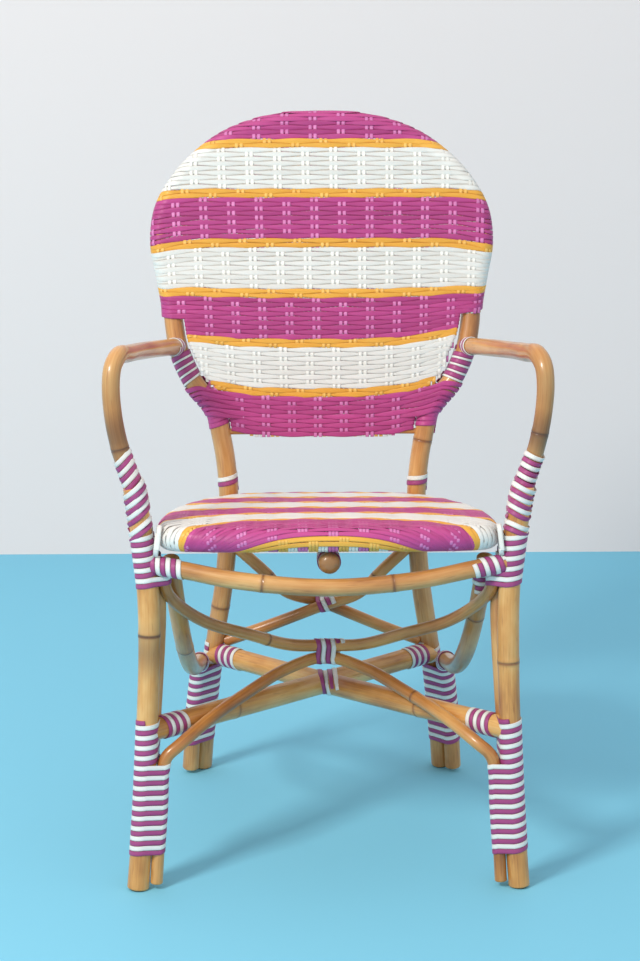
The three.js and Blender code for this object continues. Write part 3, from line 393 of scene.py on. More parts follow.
    def upper_brace(self) -> Line:
        """The centre line of the upper brace, which hangs between the seat joints."""
        seat = self.leg(1).at(self.upper_brace_end)
        reach = seat[0] - self.leg_radius - self.brace_radius - self.gap
        bottom = self.brace_height + 2 * self.brace_radius + self.gap
        rows = [(1, 0.012, 1), (0.995, 0.04, 0.87), (0.945, 0.155, 0.71), (0.763, 0.39, 0.45),
                (0.477, 0.675, 0.222), (0.233, 0.88, 0.056), (0, 1, 0)]
        return bowed(rows, lambda row, side: (
            side * row[0] * reach, mix(seat[1], self.brace_reach, row[1]),
            mix(bottom, self.upper_brace_end, row[2])))

    def side_brace(self, side: int) -> Line:
        """The centre line of a side brace, from under the seat to the back foot."""
        depth, post = self.post_setback + self.ring_overhang, self.post(side)
        points = [(side * wide * self.ring_half, deep * depth,
                   mix(self.side_brace_meet, self.side_brace_top, rise))
                  for wide, deep, rise in [(0.985, 0.12, 1), (0.965, 0.17, 0.8), (0.93, 0.3, 0.5),
                                           (0.905, 0.5, 0.26), (0.885, 0.7, 0.12)]]
        for rise, ahead in ((1.04, 40.0), (0.95, 22.0), (0.8, 16.5), (0.5, 16.5), (-0.08, 16.5)):
            height = self.side_brace_meet * rise
            seat = post.at(max(height, 0.0))
            points.append((seat[0] + side * self.side_brace_out, seat[1] - ahead, height))
        return smooth(points)

    def rear_brace(self, side: int) -> Line:
        """The centre line of a rear brace, from the top down to the foot on its side."""
        post = self.post(side)
        top, foot = post.at(self.rear_brace_top), post.at(self.rear_brace_foot)
        points = []
        for wide, rise in [(-1, 1), (-0.72, 0.62), (-0.42, 0.2), (0, 0), (0.6, -0.62), (1, -1)]:
            reach = abs(top[0] if wide < 0 else foot[0]) - self.frame_radius
            height = self.rear_cross_height + rise * (
                self.rear_cross_drop if rise < 0 else self.rear_cross_rise)
            apart = side * self.rear_cross_apart * (1 - abs(wide))
            y = mix(top[1], foot[1], (1 - rise) / 2) + apart
            points.append((side * wide * reach, y, height))
        return smooth(points)

    def rod(self) -> Line:
        """The centre line of the thin rod in the lower edge of the woven back."""
        left, right = self.post(-1).at(self.rod_height), self.post(1).at(self.rod_height)
        return Line.straight(left, right, 80)


# Meshes


def read(collection: bpy.types.bpy_prop_collection, key: str, count: int,
         kind: type) -> np.ndarray:
    """Reads one value, or a few, of everything in a collection."""
    numbers = np.zeros(count, kind)
    collection.foreach_get(key, numbers)
    return numbers


class Skein:
    """Gathers closed strands into one mesh, with a run-length map and marks for the finish.

    Each strand is a grid that is moved onto its rings and welded along its seam.
    """

    seed_step = 0.173
    cap_sides = 64

    def __init__(self, name: str) -> None:
        """Starts an empty skein."""
        self.name = name
        self.bm = bmesh.new()
        self.map = self.bm.loops.layers.uv.new(RUN_MAP)
        self.tag = self.bm.faces.layers.int.new(STRAND)
        self.strands: list[tuple[int, np.ndarray, float, np.ndarray]] = []

    def add(self, rings: np.ndarray, marks: Optional[np.ndarray] = None) -> None:
        """Adds a strand.

        Args:
            rings: Its sections as an array of stations, corners and three coordinates, in mm.
            marks: Three marks at each station for the finish: seed, knot, and scorch with painted
                shade.
        """
        stations, corners = rings.shape[:2]
        grid = bmesh.ops.create_grid(self.bm, x_segments=corners, y_segments=stations - 1,
                                     size=1.0, calc_uvs=True)
        closed = np.concatenate([rings, rings[:, :1]], axis=1)
        for vert, place in zip(grid["verts"], to_metres(closed.reshape(-1, 3))):
            vert.co = place
        number = len(self.strands)
        for face in {f for v in grid["verts"] for f in v.link_faces}:
            face[self.tag] = number
            face.smooth = True
        steps = np.linalg.norm(np.diff(rings.mean(axis=1), axis=0), axis=1)
        run = np.concatenate([[0.0], np.cumsum(steps)]) * MM
        around = np.linalg.norm(np.diff(closed[len(closed) // 2], axis=0), axis=1).sum() * MM
        if marks is None:
            marks = np.tile([number * self.seed_step % 1.0, 0.0, 0.0], (stations, 1))
        self.strands.append((stations, run, around, marks))

    def mesh(self) -> bpy.types.Mesh:
        """Welds and caps the strands and writes their maps."""
        bmesh.ops.remove_doubles(self.bm, verts=self.bm.verts, dist=WELD)
        rims = [e for e in self.bm.edges if e.is_boundary]
        for cap in bmesh.ops.holes_fill(self.bm, edges=rims, sides=self.cap_sides)["faces"]:
            for loop in cap.loops:
                near = next(f for f in loop.edge.link_faces if f is not cap)
                cap[self.tag] = near[self.tag]
                loop[self.map].uv = (0.5, 0.0)
        bmesh.ops.recalc_face_normals(self.bm, faces=self.bm.faces)
        mesh = bpy.data.meshes.new(self.name)
        self.bm.to_mesh(mesh)
        self.bm.free()
        self._write_maps(mesh)
        return mesh

    def _write_maps(self, mesh: bpy.types.Mesh) -> None:
        """Turns the grid's own map into lengths in metres and writes the marks."""
        corners, polygons = len(mesh.loops), len(mesh.polygons)
        flat = read(mesh.uv_layers[RUN_MAP].data, "uv", corners * 2, np.float32)
        flat = flat.reshape(-1, 2).astype(float)
        tags = read(mesh.attributes[STRAND].data, "value", polygons, np.int32)
        owner = np.repeat(tags, read(mesh.polygons, "loop_total", polygons, np.int32))
        colours = np.ones((corners, 4))
        order = np.argsort(owner, kind="stable")
        bounds = np.searchsorted(owner[order], np.arange(len(self.strands) + 1))
        for k, (stations, run, around, marks) in enumerate(self.strands):
            mine = order[bounds[k]:bounds[k + 1]]
            index = flat[mine, 1] * (stations - 1)
            ticks = np.arange(stations)
            flat[mine, 0] *= around
            flat[mine, 1] = np.interp(index, ticks, run)
            for c in range(3):
                colours[mine, c] = np.interp(index, ticks, marks[:, c])
        mesh.uv_layers[RUN_MAP].data.foreach_set("uv", flat.astype(np.float32).ravel())
        layer = mesh.attributes.new(MARKS, "FLOAT_COLOR", "CORNER")
        layer.data.foreach_set("color", colours.astype(np.float32).ravel())
        mesh.attributes.remove(mesh.attributes[STRAND])

    def piece(self, finish: "Finish", replaces: Optional[str] = None) -> None:
        """Makes the piece and hangs it on the frame.

        Args:
            finish: The finish that dresses it, which knows its slot.
            replaces: The CAD node that it stands for, if any.
        """
        mesh = self.mesh()
        piece = bpy.data.objects.new(self.name, mesh)
        bpy.context.scene.collection.objects.link(piece)
        mesh.materials.append(finish.material())
        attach(piece, ROOT)
        if replaces is not None:
            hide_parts(replaces)
        log.info("%s: %d faces", self.name, len(mesh.polygons))


def carried_frames(points: np.ndarray, first: np.ndarray) -> tuple[np.ndarray, np.ndarray]:
    """Frames that turn with a line and never spin about it.

    Args:
        points: The points of the line.
        first: A direction for the first frame's side.

    Returns:
        The side vectors, and the vectors square to them and to the line.
    """
    tangents = headings(points)
    sides = np.zeros_like(points)
    side = first
    for i, tangent in enumerate(tangents):
        side = unit(side - tangent * (side @ tangent))
        sides[i] = side
    return sides, np.cross(tangents, sides)


@dataclass(frozen=True)
class KnotShape:
    """How a knot swells a cane, with a fine groove in its middle, in millimetres."""

    swell: float = 0.55
    swell_width: float = 4.2
    groove: float = 0.42
    groove_width: float = 0.8
    ring_width: float = 1.5
    halo: float = 0.35
    halo_width: float = 5.0

    def profile(self, off: np.ndarray) -> tuple[np.ndarray, np.ndarray]:
        """What a knot adds to the radius, and how dark it is, at distances from its middle."""
        rise = (self.swell * np.exp(-(off / self.swell_width) ** 2)
                - self.groove * np.exp(-(off / self.groove_width) ** 2))
        dark = (np.exp(-(off / self.ring_width) ** 2)
                + self.halo * np.exp(-(off / self.halo_width) ** 2))
        return rise, dark


@dataclass
class Cane:
    """One bent cane: where it runs, how thick it is, its knots, and its scorched places and painted
    shade.

    Each scorch, and each patch of painted shade laid the same way, has its place along the cane,
    its width and its strength.
    """

    name: str
    line: Line
    radius: float
    seed: int
    finish: "Finish"
    knots: Sequence[float] = ()
    scorches_and_shade: Sequence[tuple[float, float, float]] = ()
    corners: int = 20
    closed: bool = False
    end_round: float = 1.6

    step: ClassVar[float] = 5.0
    least_step: ClassVar[float] = 0.3
    knot: ClassVar[KnotShape] = KnotShape()
    knot_stations: ClassVar[np.ndarray] = np.array(
        [-9, -5, -3, -1.8, -1.1, -0.5, 0, 0.5, 1.1, 1.8, 3, 5, 9])
    end_shares: ClassVar[np.ndarray] = np.array([0.12, 0.3, 0.55, 1.0, 2.0])
    waviness: ClassVar[float] = 0.09
    wave_lengths: ClassVar[tuple] = (18, 90)
    ovalness: ClassVar[float] = 0.012

    def stations(self) -> np.ndarray:
        """The running lengths of the cane's sections, closer together at knots and ends."""
        length = self.line.length
        runs = [np.linspace(0, length, max(int(length / self.step), 8))]
        runs += [knot + self.knot_stations for knot in self.knots]
        if not self.closed:
            ends = self.end_shares * self.end_round
            runs += [ends, length - ends]
        ordered = np.unique(np.round(np.concatenate(runs), 3))
        ordered = ordered[(ordered >= 0) & (ordered <= length)]
        keep = np.concatenate([[True], np.diff(ordered) > self.least_step])
        keep[-1] = True
        return ordered[keep]

    def strand(self) -> tuple[np.ndarray, np.ndarray]:
        """The sections of the cane, and the seed, knot and scorch marks at each; the scorch mark
        also carries painted shade.
        """
        rng = np.random.default_rng(self.seed)
        runs = self.stations()
        points = self.line.place(runs)
        first = ACROSS if abs(unit(points[1] - points[0]) @ ACROSS) < 0.8 else UP
        sides, aheads = carried_frames(points, first)
        knot, swell, scorch_and_shade = (np.zeros(len(runs)) for _ in range(3))
        for place in self.knots:
            rise, dark = self.knot.profile(np.abs(runs - place))
            swell += rise
            knot = np.maximum(knot, dark)
        waves = sum(rng.normal(0, self.waviness)
                    * np.sin(runs / rng.uniform(*self.wave_lengths) + rng.uniform(0, 6.3))
                    for _ in range(6))
        radius = self.radius + swell + waves
        if not self.closed:
            ends = np.minimum(runs, self.line.length - runs) / self.end_round
            radius -= self.end_round * np.clip(1 - ends, 0, 1) ** 2
        angles = TURN * np.arange(self.corners) / self.corners
        oval = 1 + self.ovalness * np.cos(2 * angles + rng.uniform(0, 6.3))
        rings = (points[:, None]
                 + sides[:, None] * (radius[:, None] * (oval * np.cos(angles))[None])[..., None]
                 + aheads[:, None] * (radius[:, None] * (oval * np.sin(angles))[None])[..., None])
        for place, width, strength in self.scorches_and_shade:
            scorch_and_shade = np.maximum(scorch_and_shade, strength * np.exp(-((runs - place) / width) ** 2))
        seeds = np.full(len(runs), (self.seed * 0.377) % 1.0)
        return rings, np.stack([seeds, np.clip(knot, 0, 1), scorch_and_shade], -1)

    def build(self) -> None:
        """Makes the cane's piece, which stands for the node of its name."""
        skein = Skein(self.name + "_cane")
        skein.add(*self.strand())
        skein.piece(self.finish, self.name)


@dataclass(frozen=True)
class StripShape:
    """The flat section of a strip, in millimetres."""

    width: float = 6.0
    thickness: float = 1.0

    def corners(self) -> np.ndarray:
        """The section's corners as pairs of distance across and distance out."""
        shares = [(-0.5, 0.35), (-0.45, 0.84), (-0.25, 1.0), (0.25, 1.0),
                  (0.45, 0.84), (0.5, 0.35), (0.44, 0.0), (-0.44, 0.0)]
        return np.array(shares) * [self.width, self.thickness]

    def swept(self, points: np.ndarray, widths: np.ndarray, outs: np.ndarray,
              spread: Optional[np.ndarray] = None, sink: float = 0.0) -> np.ndarray:
        """The rings of a strip along a path.

        Args:
            points: The path's points.
            widths: The unit direction across the strip at each.
            outs: The unit direction out of the strip at each.
            spread: What the width is multiplied by at each, if it varies.
            sink: How far the section's underside lies below the path.

        Returns:
            The rings in millimetres.
        """
        section = self.corners()[None]
        wide = section[..., :1]
        if spread is not None:
            wide = wide * spread[:, None, None]
        return points[:, None] + widths[:, None] * wide + outs[:, None] * (section[..., 1:] - sink)


# Finishes


def operator(operation: str, swapped: bool = False) -> Callable:
    """Makes the method of an operator of shader values, with the value second if swapped."""
    def method(self: "Value", other: "Value | float") -> "Value":
        """Adds the Math node of the operator."""
        first, second = (other, self) if swapped else (self, other)
        return self.graph.add("ShaderNodeMath", {"operation": operation}, {0: first, 1: second})
    return method


class Value:
    """A shader value. Sums of it add the Math nodes that work them out."""

    __add__, __radd__ = operator("ADD"), operator("ADD", True)
    __sub__, __rsub__ = operator("SUBTRACT"), operator("SUBTRACT", True)
    __mul__, __rmul__ = operator("MULTIPLY"), operator("MULTIPLY", True)

    def __init__(self, graph: "Graph", socket: bpy.types.NodeSocket) -> None:
        """Wraps an output socket of a graph."""
        self.graph, self.socket = graph, socket

    def sine(self) -> "Value":
        """The sine of the value."""
        return self.graph.add("ShaderNodeMath", {"operation": "SINE"}, {0: self})

    def clipped(self, low: float, high: float) -> "Value":
        """How far the value lies from low to high, kept between zero and one."""
        return self.graph.add("ShaderNodeMapRange", {"clamp": True},
                              {"Value": self, "From Min": low, "From Max": high})


class Graph:
    """The node tree of one material."""

    def __init__(self, name: str) -> None:
        """Starts a material with an empty tree."""
        self.material = bpy.data.materials.new(name)
        self.material.use_nodes = True
        self.tree = self.material.node_tree
        self.tree.nodes.clear()

    def add(self, kind: str, settings: Optional[dict] = None, sockets: Optional[dict] = None,
            output: str | int = 0) -> Optional[Value]:
        """Adds a node.

        Args:
            kind: The node's type.
            settings: Its settings, set first; "stops" holds the stops of a colour ramp.
            sockets: What goes into its sockets, by name or number: a Value or a constant.
            output: Which output to return.

        Returns:
            The output as a Value, or None where the node has no output.
        """
        node = self.tree.nodes.new(kind)
        for key, setting in (settings or {}).items():
            if key == "stops":
                self._set_stops(node.color_ramp, setting)
            else:
                setattr(node, key, setting)
        for key, content in (sockets or {}).items():
            if isinstance(content, Value):
                self.tree.links.new(content.socket, node.inputs[key])
            else:
                node.inputs[key].default_value = content
        return Value(self, node.outputs[output]) if len(node.outputs) else None

    @staticmethod
    def _set_stops(ramp: bpy.types.ColorRamp, stops: Sequence[tuple[float, tuple]]) -> None:
        """Gives a colour ramp its stops."""
        while len(ramp.elements) < len(stops):
            ramp.elements.new(0.5)
        for element, (place, colour) in zip(ramp.elements, stops):
            element.position = place
            element.color = colour

    def vector(self, x: Value | float, y: Value | float, z: Value | float) -> Value:
        """Three values as one vector."""
        return self.add("ShaderNodeCombineXYZ", {}, {0: x, 1: y, 2: z})

    def noise(self, vector: Value, scale: float, detail: float = 2.0,
              roughness: float = 0.5) -> Value:
        """Noise between zero and one."""
        sockets = {"Vector": vector, "Scale": scale, "Detail": detail, "Roughness": roughness}
        return self.add("ShaderNodeTexNoise", {"noise_dimensions": "3D"}, sockets, "Fac")

    def blend(self, share: Value | float, a: Value | tuple, b: Value | tuple,
              kind: str = "MIX") -> Value:
        """A colour that lies a share of the way from a to b, or to a and b blended by a kind."""
        return self.add("ShaderNodeMix", {"data_type": "RGBA", "blend_type": kind},
                        {0: share, 6: a, 7: b}, 2)

    def map_values(self) -> tuple[Value, Value]:
        """Reads the distances round a strand and along it, in metres."""
        mapped = self.add("ShaderNodeUVMap", {"uv_map": RUN_MAP})
        split = self.add("ShaderNodeSeparateXYZ", {}, {0: mapped})
        return split, Value(self, split.socket.node.outputs[1])

    def mark_values(self) -> tuple[Value, Value, Value]:
        """Reads the seed, knot and scorch marks; the scorch mark also carries painted shade."""
        marks = self.add("ShaderNodeAttribute", {"attribute_name": MARKS}, {}, "Color")
        split = self.add("ShaderNodeSeparateColor", {}, {0: marks})
        outputs = split.socket.node.outputs
        return split, Value(self, outputs[1]), Value(self, outputs[2])

    def surface(self, colour: Value | tuple, roughness: Value | float, bump: Optional[Value],
                depth: float, constants: dict, clear: Optional[Value] = None) -> None:
        """Ends the tree in a Principled BSDF.

        Args:
            colour: The base colour.
            roughness: The roughness.
            bump: The height that the bump follows, from zero to one.
            depth: The height of the bump in metres.
            constants: Values for sockets that are the same all over.
            clear: The share of the surface that is seen through, if any.
        """
        sockets = {"Base Color": colour, "Roughness": roughness, **constants}
        if bump is not None:
            sockets["Normal"] = self.add("ShaderNodeBump", {}, {
                "Strength": 1.0, "Distance": depth, "Height": bump})
        shader = self.add("ShaderNodeBsdfPrincipled", {}, sockets)
        if clear is not None:
            nothing = self.add("ShaderNodeBsdfTransparent")
            shader = self.add("ShaderNodeMixShader", {}, {0: clear, 1: shader, 2: nothing})
        self.add("ShaderNodeOutputMaterial", {}, {"Surface": shader})


@dataclass(frozen=True)
class Finish:
    """A finish with the name of its material and the name of its slot in the record."""

    name: str = "finish"
    slot: str = ""

    made: ClassVar[dict[str, bpy.types.Material]] = {}

    def paint(self, graph: Graph) -> None:
        """Builds the material's nodes in a graph."""
        raise NotImplementedError

    def material(self) -> bpy.types.Material:
        """The material, made at the first call and then shared."""
        if self.name not in Finish.made:
            graph = Graph(self.name)
            self.paint(graph)
            Finish.made[self.name] = graph.material
        return Finish.made[self.name]


@dataclass(frozen=True)
class RattanFinish(Finish):
    """Varnished rattan: long fibres, mottling, dark rings at the knots, and scorched bends and
    painted shade through the scorch mark.
    """

    light: tuple = srgb(232, 184, 116)
    middle: tuple = srgb(212, 150, 78)
    dark: tuple = srgb(170, 104, 46)
    knot: tuple = srgb(140, 84, 42)
    burn_and_shade: tuple = srgb(70, 34, 16)
    fleck: tuple = srgb(150, 98, 58)
    grain_depth: float = 0.00025

    def paint(self, graph: Graph) -> None:
        """Builds the material's nodes."""
        around, along = graph.map_values()
        seed, knot, scorch_and_shade = graph.mark_values()
        shift = seed * 37.0
        fibres = graph.noise(graph.vector(around * 520, along * 9, shift), 1.0, 4.0, 0.6)
        clouds = graph.noise(graph.vector(around * 38, along * 11, shift + 3), 1.0, 3.0, 0.55)
        flecks = graph.noise(graph.vector(around * 330, along * 34, shift + 7), 1.0, 2.0)
        bands = graph.noise(graph.vector(0.0, along * 7, shift + 11), 1.0, 1.0)
        tone = fibres * 0.3 + clouds * 0.72 + bands * 0.55 - 0.28
        base = graph.add("ShaderNodeValToRGB", {"stops": [
            (0.28, self.dark), (0.48, self.middle), (0.68, self.light)]}, {0: tone})
        base = graph.blend(flecks.clipped(0.62, 0.78) * 0.4, base, self.fleck, "MULTIPLY")
        base = graph.blend((knot * (0.55 + fibres * 0.7)).clipped(0.1, 1.15), base, self.knot)
        # The scorch mark darkens scorched bends and also lays painted shade, as at the bearer's end
        # under the seat.
        scorch_and_shade_mask = (scorch_and_shade * (0.45 + clouds * 1.2)).clipped(0.08, 0.95)
        base = graph.blend(scorch_and_shade_mask, base, self.burn_and_shade)
        height = fibres * 0.5 + clouds * 0.5 - knot * 0.2
        graph.surface(base, 0.27 + fibres * 0.2 + scorch_and_shade_mask * 0.1, height, self.grain_depth,
                      {"Coat Weight": 0.5, "Coat Roughness": 0.14})


@dataclass(frozen=True)
class StripFinish(Finish):
    """Extruded binding strip: ribbed along its length, a little uneven in tone."""

    tint: tuple = srgb(206, 76, 150)
    shade: tuple = srgb(158, 46, 110)
    ribs_per_metre: float = 1500.0
    rib_depth: float = 0.00018

    def paint(self, graph: Graph) -> None:
        """Builds the material's nodes."""
        around, along = graph.map_values()
        seed, _, _ = graph.mark_values()
        shift = seed * 61.0
        ribs = (around * (self.ribs_per_metre * TURN)).sine() * 0.5 + 0.5
        drag = graph.noise(graph.vector(around * 900, along * 22, shift), 1.0, 3.0, 0.6)
        tone = graph.noise(graph.vector(along * 16, shift, 0.0), 1.0, 2.0)
        base = graph.blend((drag * 0.5 + tone * 0.6 + seed * 0.35 - 0.3).clipped(0.1, 1.0),
                           self.tint, self.shade)
        # Painted shade: the rib grooves are darkened towards the shade colour.
        base = graph.blend((1 - ribs) * 0.25, base, self.shade, "MULTIPLY")
        graph.surface(base, 0.34 + drag * 0.16, ribs * 0.7 + drag * 0.3, self.rib_depth,
                      {"Coat Weight": 0.12, "Coat Roughness": 0.25})


@dataclass(frozen=True)
class WornFinish(Finish):
    """A hard surface that use has scratched or scuffed, for the screws and the glides."""

    plain: tuple = srgb(150, 150, 146)
    worn: tuple = srgb(196, 195, 190)
    noise: tuple = (900.0, 4.0)
    wear: Optional[tuple] = None
    roughness: float = 0.28
    depth: float = 0.0001
    extra: tuple = ("Metallic", 1.0)

    def paint(self, graph: Graph) -> None:
        """Builds the material's nodes."""
        place = graph.add("ShaderNodeTexCoord", {}, {}, "Object")
        marks = graph.noise(place, *self.noise)
        share = marks.clipped(*self.wear) if self.wear else marks
        colour = graph.blend(share, self.plain, self.worn)
        graph.surface(colour, self.roughness + marks * 0.25, marks, self.depth, dict([self.extra]))


@dataclass(frozen=True)
class StudioFinish(Finish):
    """A plain matt surface of the studio, which may be clear from behind."""

    colour: tuple = srgb(196, 222, 232)
    one_sided: bool = False

    def paint(self, graph: Graph) -> None:
        """Builds the material's nodes."""
        clear = None
        if self.one_sided:
            clear = graph.add("ShaderNodeNewGeometry", output="Backfacing")
        graph.surface(self.colour, 0.75, None, 0.0, {"Specular IOR Level": 0.2}, clear)


def strip_finishes(name: str, *tones: tuple[Strip, tuple, tuple]) -> dict[Strip, StripFinish]:
    """Makes the finishes of one kind of strip."""
    slots = {Strip.MAGENTA: "strip_magenta", Strip.WHITE: "strip_white", Strip.SAFFRON: "weave"}
    return {strip: StripFinish(f"{name}_{strip.value}", slots[strip], srgb(*tint), srgb(*shade))
            for strip, tint, shade in tones}


STRIPS = strip_finishes(
    "strip", (Strip.MAGENTA, (206, 76, 150), (158, 46, 110)),
    (Strip.WHITE, (240, 239, 234), (222, 219, 212)),
    (Strip.SAFFRON, (246, 188, 74), (226, 156, 46)))
BINDINGS = {**STRIPS, **strip_finishes("binding", (Strip.MAGENTA, (178, 72, 134), (136, 50, 100)))}
# Painted highlight: the warps are lighter than the wefts of their colour, as if lit on their
# rounded crests; the magenta warps are a light pink.
WARPS_PAINTED_HIGHLIGHT = strip_finishes(
    "warp", (Strip.MAGENTA, (226, 138, 196), (196, 96, 160)),
    (Strip.WHITE, (246, 245, 240), (232, 230, 222)),
    (Strip.SAFFRON, (246, 200, 104), (228, 168, 66)))


# Poles


@dataclass
class Poles:
    """All the canes of the chair."""

    layout: Layout
    floor_height: float = 0.4
    glide_height: float = 4.6
    wood: RattanFinish = RattanFinish("rattan", "rattan")
    amber: RattanFinish = RattanFinish(
        "amber_rattan", "rattan", srgb(220, 168, 104), srgb(196, 136, 74), srgb(152, 94, 46),
        srgb(116, 66, 32), srgb(64, 30, 14))
    slim: RattanFinish = RattanFinish(
        "slim_rattan", "slim_rattan", srgb(214, 156, 88), srgb(184, 120, 56), srgb(142, 82, 34),
        srgb(104, 58, 26), srgb(58, 26, 12))

    def paired(self, side: Side) -> list[Cane]:
        """The canes of one side."""
        lay, s, w, left = self.layout, side.value, side.word, side is Side.LEFT
        leg, arm = lay.leg(s), lay.arm(s)
        high = leg.run_at(299.0 if left else 262.0)
        return [
            Cane(f"front_leg_{w}", leg.above(self.floor_height), lay.leg_radius, 11 + s, self.wood,
                 knots=[high], scorches_and_shade=[(leg.run_at(276.0), 30.0, 0.5 if left else 0.1),
                                         (high, 3.0, 0.7 if left else 0.3)]),
            Cane(f"arm_{w}", arm, lay.arm_radius, 21 + s, self.amber,
                 knots=[arm.run_at(540.0 if left else 556.0)],
                 scorches_and_shade=[(arm.run_at(556.0), 34.0, 0.62), (arm.run_at(604.0), 50.0, 0.3)]),
            Cane(f"stretcher_{w}", lay.stretcher(s), lay.stretcher_radius, 31 + s, self.wood,
                 knots=[150.0]),
            Cane(f"side_brace_{w}", lay.side_brace(s).above(self.glide_height),
                 lay.side_brace_radius, 41 + s, self.amber, knots=[172.0 if left else 96.0]),
            Cane(f"rear_brace_{w}", lay.rear_brace(s), lay.rear_brace_radius, 51 + s, self.slim,
                 knots=[60.0]),
        ]

    def single(self) -> list[Cane]:
        """The canes that the chair has one of."""
        lay = self.layout
        back = lay.back_frame().above(self.floor_height)
        return [
            Cane("back_frame", back, lay.frame_radius, 61, self.amber,
                 knots=[back.run_at(474.0), back.length - back.run_at(246.0)],
                 scorches_and_shade=[(back.run_at(180.0), 50.0, 0.2)]),
            # The front rail takes the darker amber tone partly as its own colour and partly as
            # painted shade from the seat above it.
            Cane("front_rail", lay.rail(), lay.rail_radius, 71, self.amber, knots=[146.0, 300.0]),
            # The dark mark at the bearer's front end is painted shade from the seat above, laid
            # with the scorch mark.
            Cane("seat_bearer", lay.bearer(), lay.bearer_radius, 72, self.amber, knots=[60.0],
                 scorches_and_shade=[(0.0, 26.0, 0.5)], end_round=7.0),
            Cane("seat_ring", lay.ring(), lay.ring_radius, 73, self.wood, closed=True,
                 knots=[300.0]),
            Cane("lower_brace", lay.lower_brace().above(self.glide_height), lay.brace_radius, 74,
                 self.slim, knots=[300.0]),
            Cane("upper_brace", lay.upper_brace(), lay.brace_radius, 75, self.slim,
                 knots=[430.0]),
            Cane("back_bottom_rod", lay.rod(), lay.rod_radius, 76, self.slim, corners=12),
        ]

    def build(self) -> None:
        """Makes every cane."""
        for cane in [*self.paired(Side.LEFT), *self.paired(Side.RIGHT), *self.single()]:
            cane.build()


# Lashings


@dataclass
class Member:
    """A pole that a lashing binds: its line, its radius and how far along it is bound."""

    line: Line
    radius: float
    to: float = math.inf
    facing: Optional[float] = None


class Helix:
    """A path that a strip winds along."""

    def path(self, offset: float,
             turns: Optional[float]) -> tuple[np.ndarray, np.ndarray, np.ndarray]:
        """The path of one strip.

        Args:
            offset: How far along it starts.
            turns: How many turns it makes, if not all of them.

        Returns:
            The points, the directions across the strip and those out of it.
        """
        raise NotImplementedError

    def strip(self, shape: StripShape, offset: float = 0.0,
              turns: Optional[float] = None) -> np.ndarray:
        """Makes one strip."""
        return shape.swept(*self.path(offset, turns))


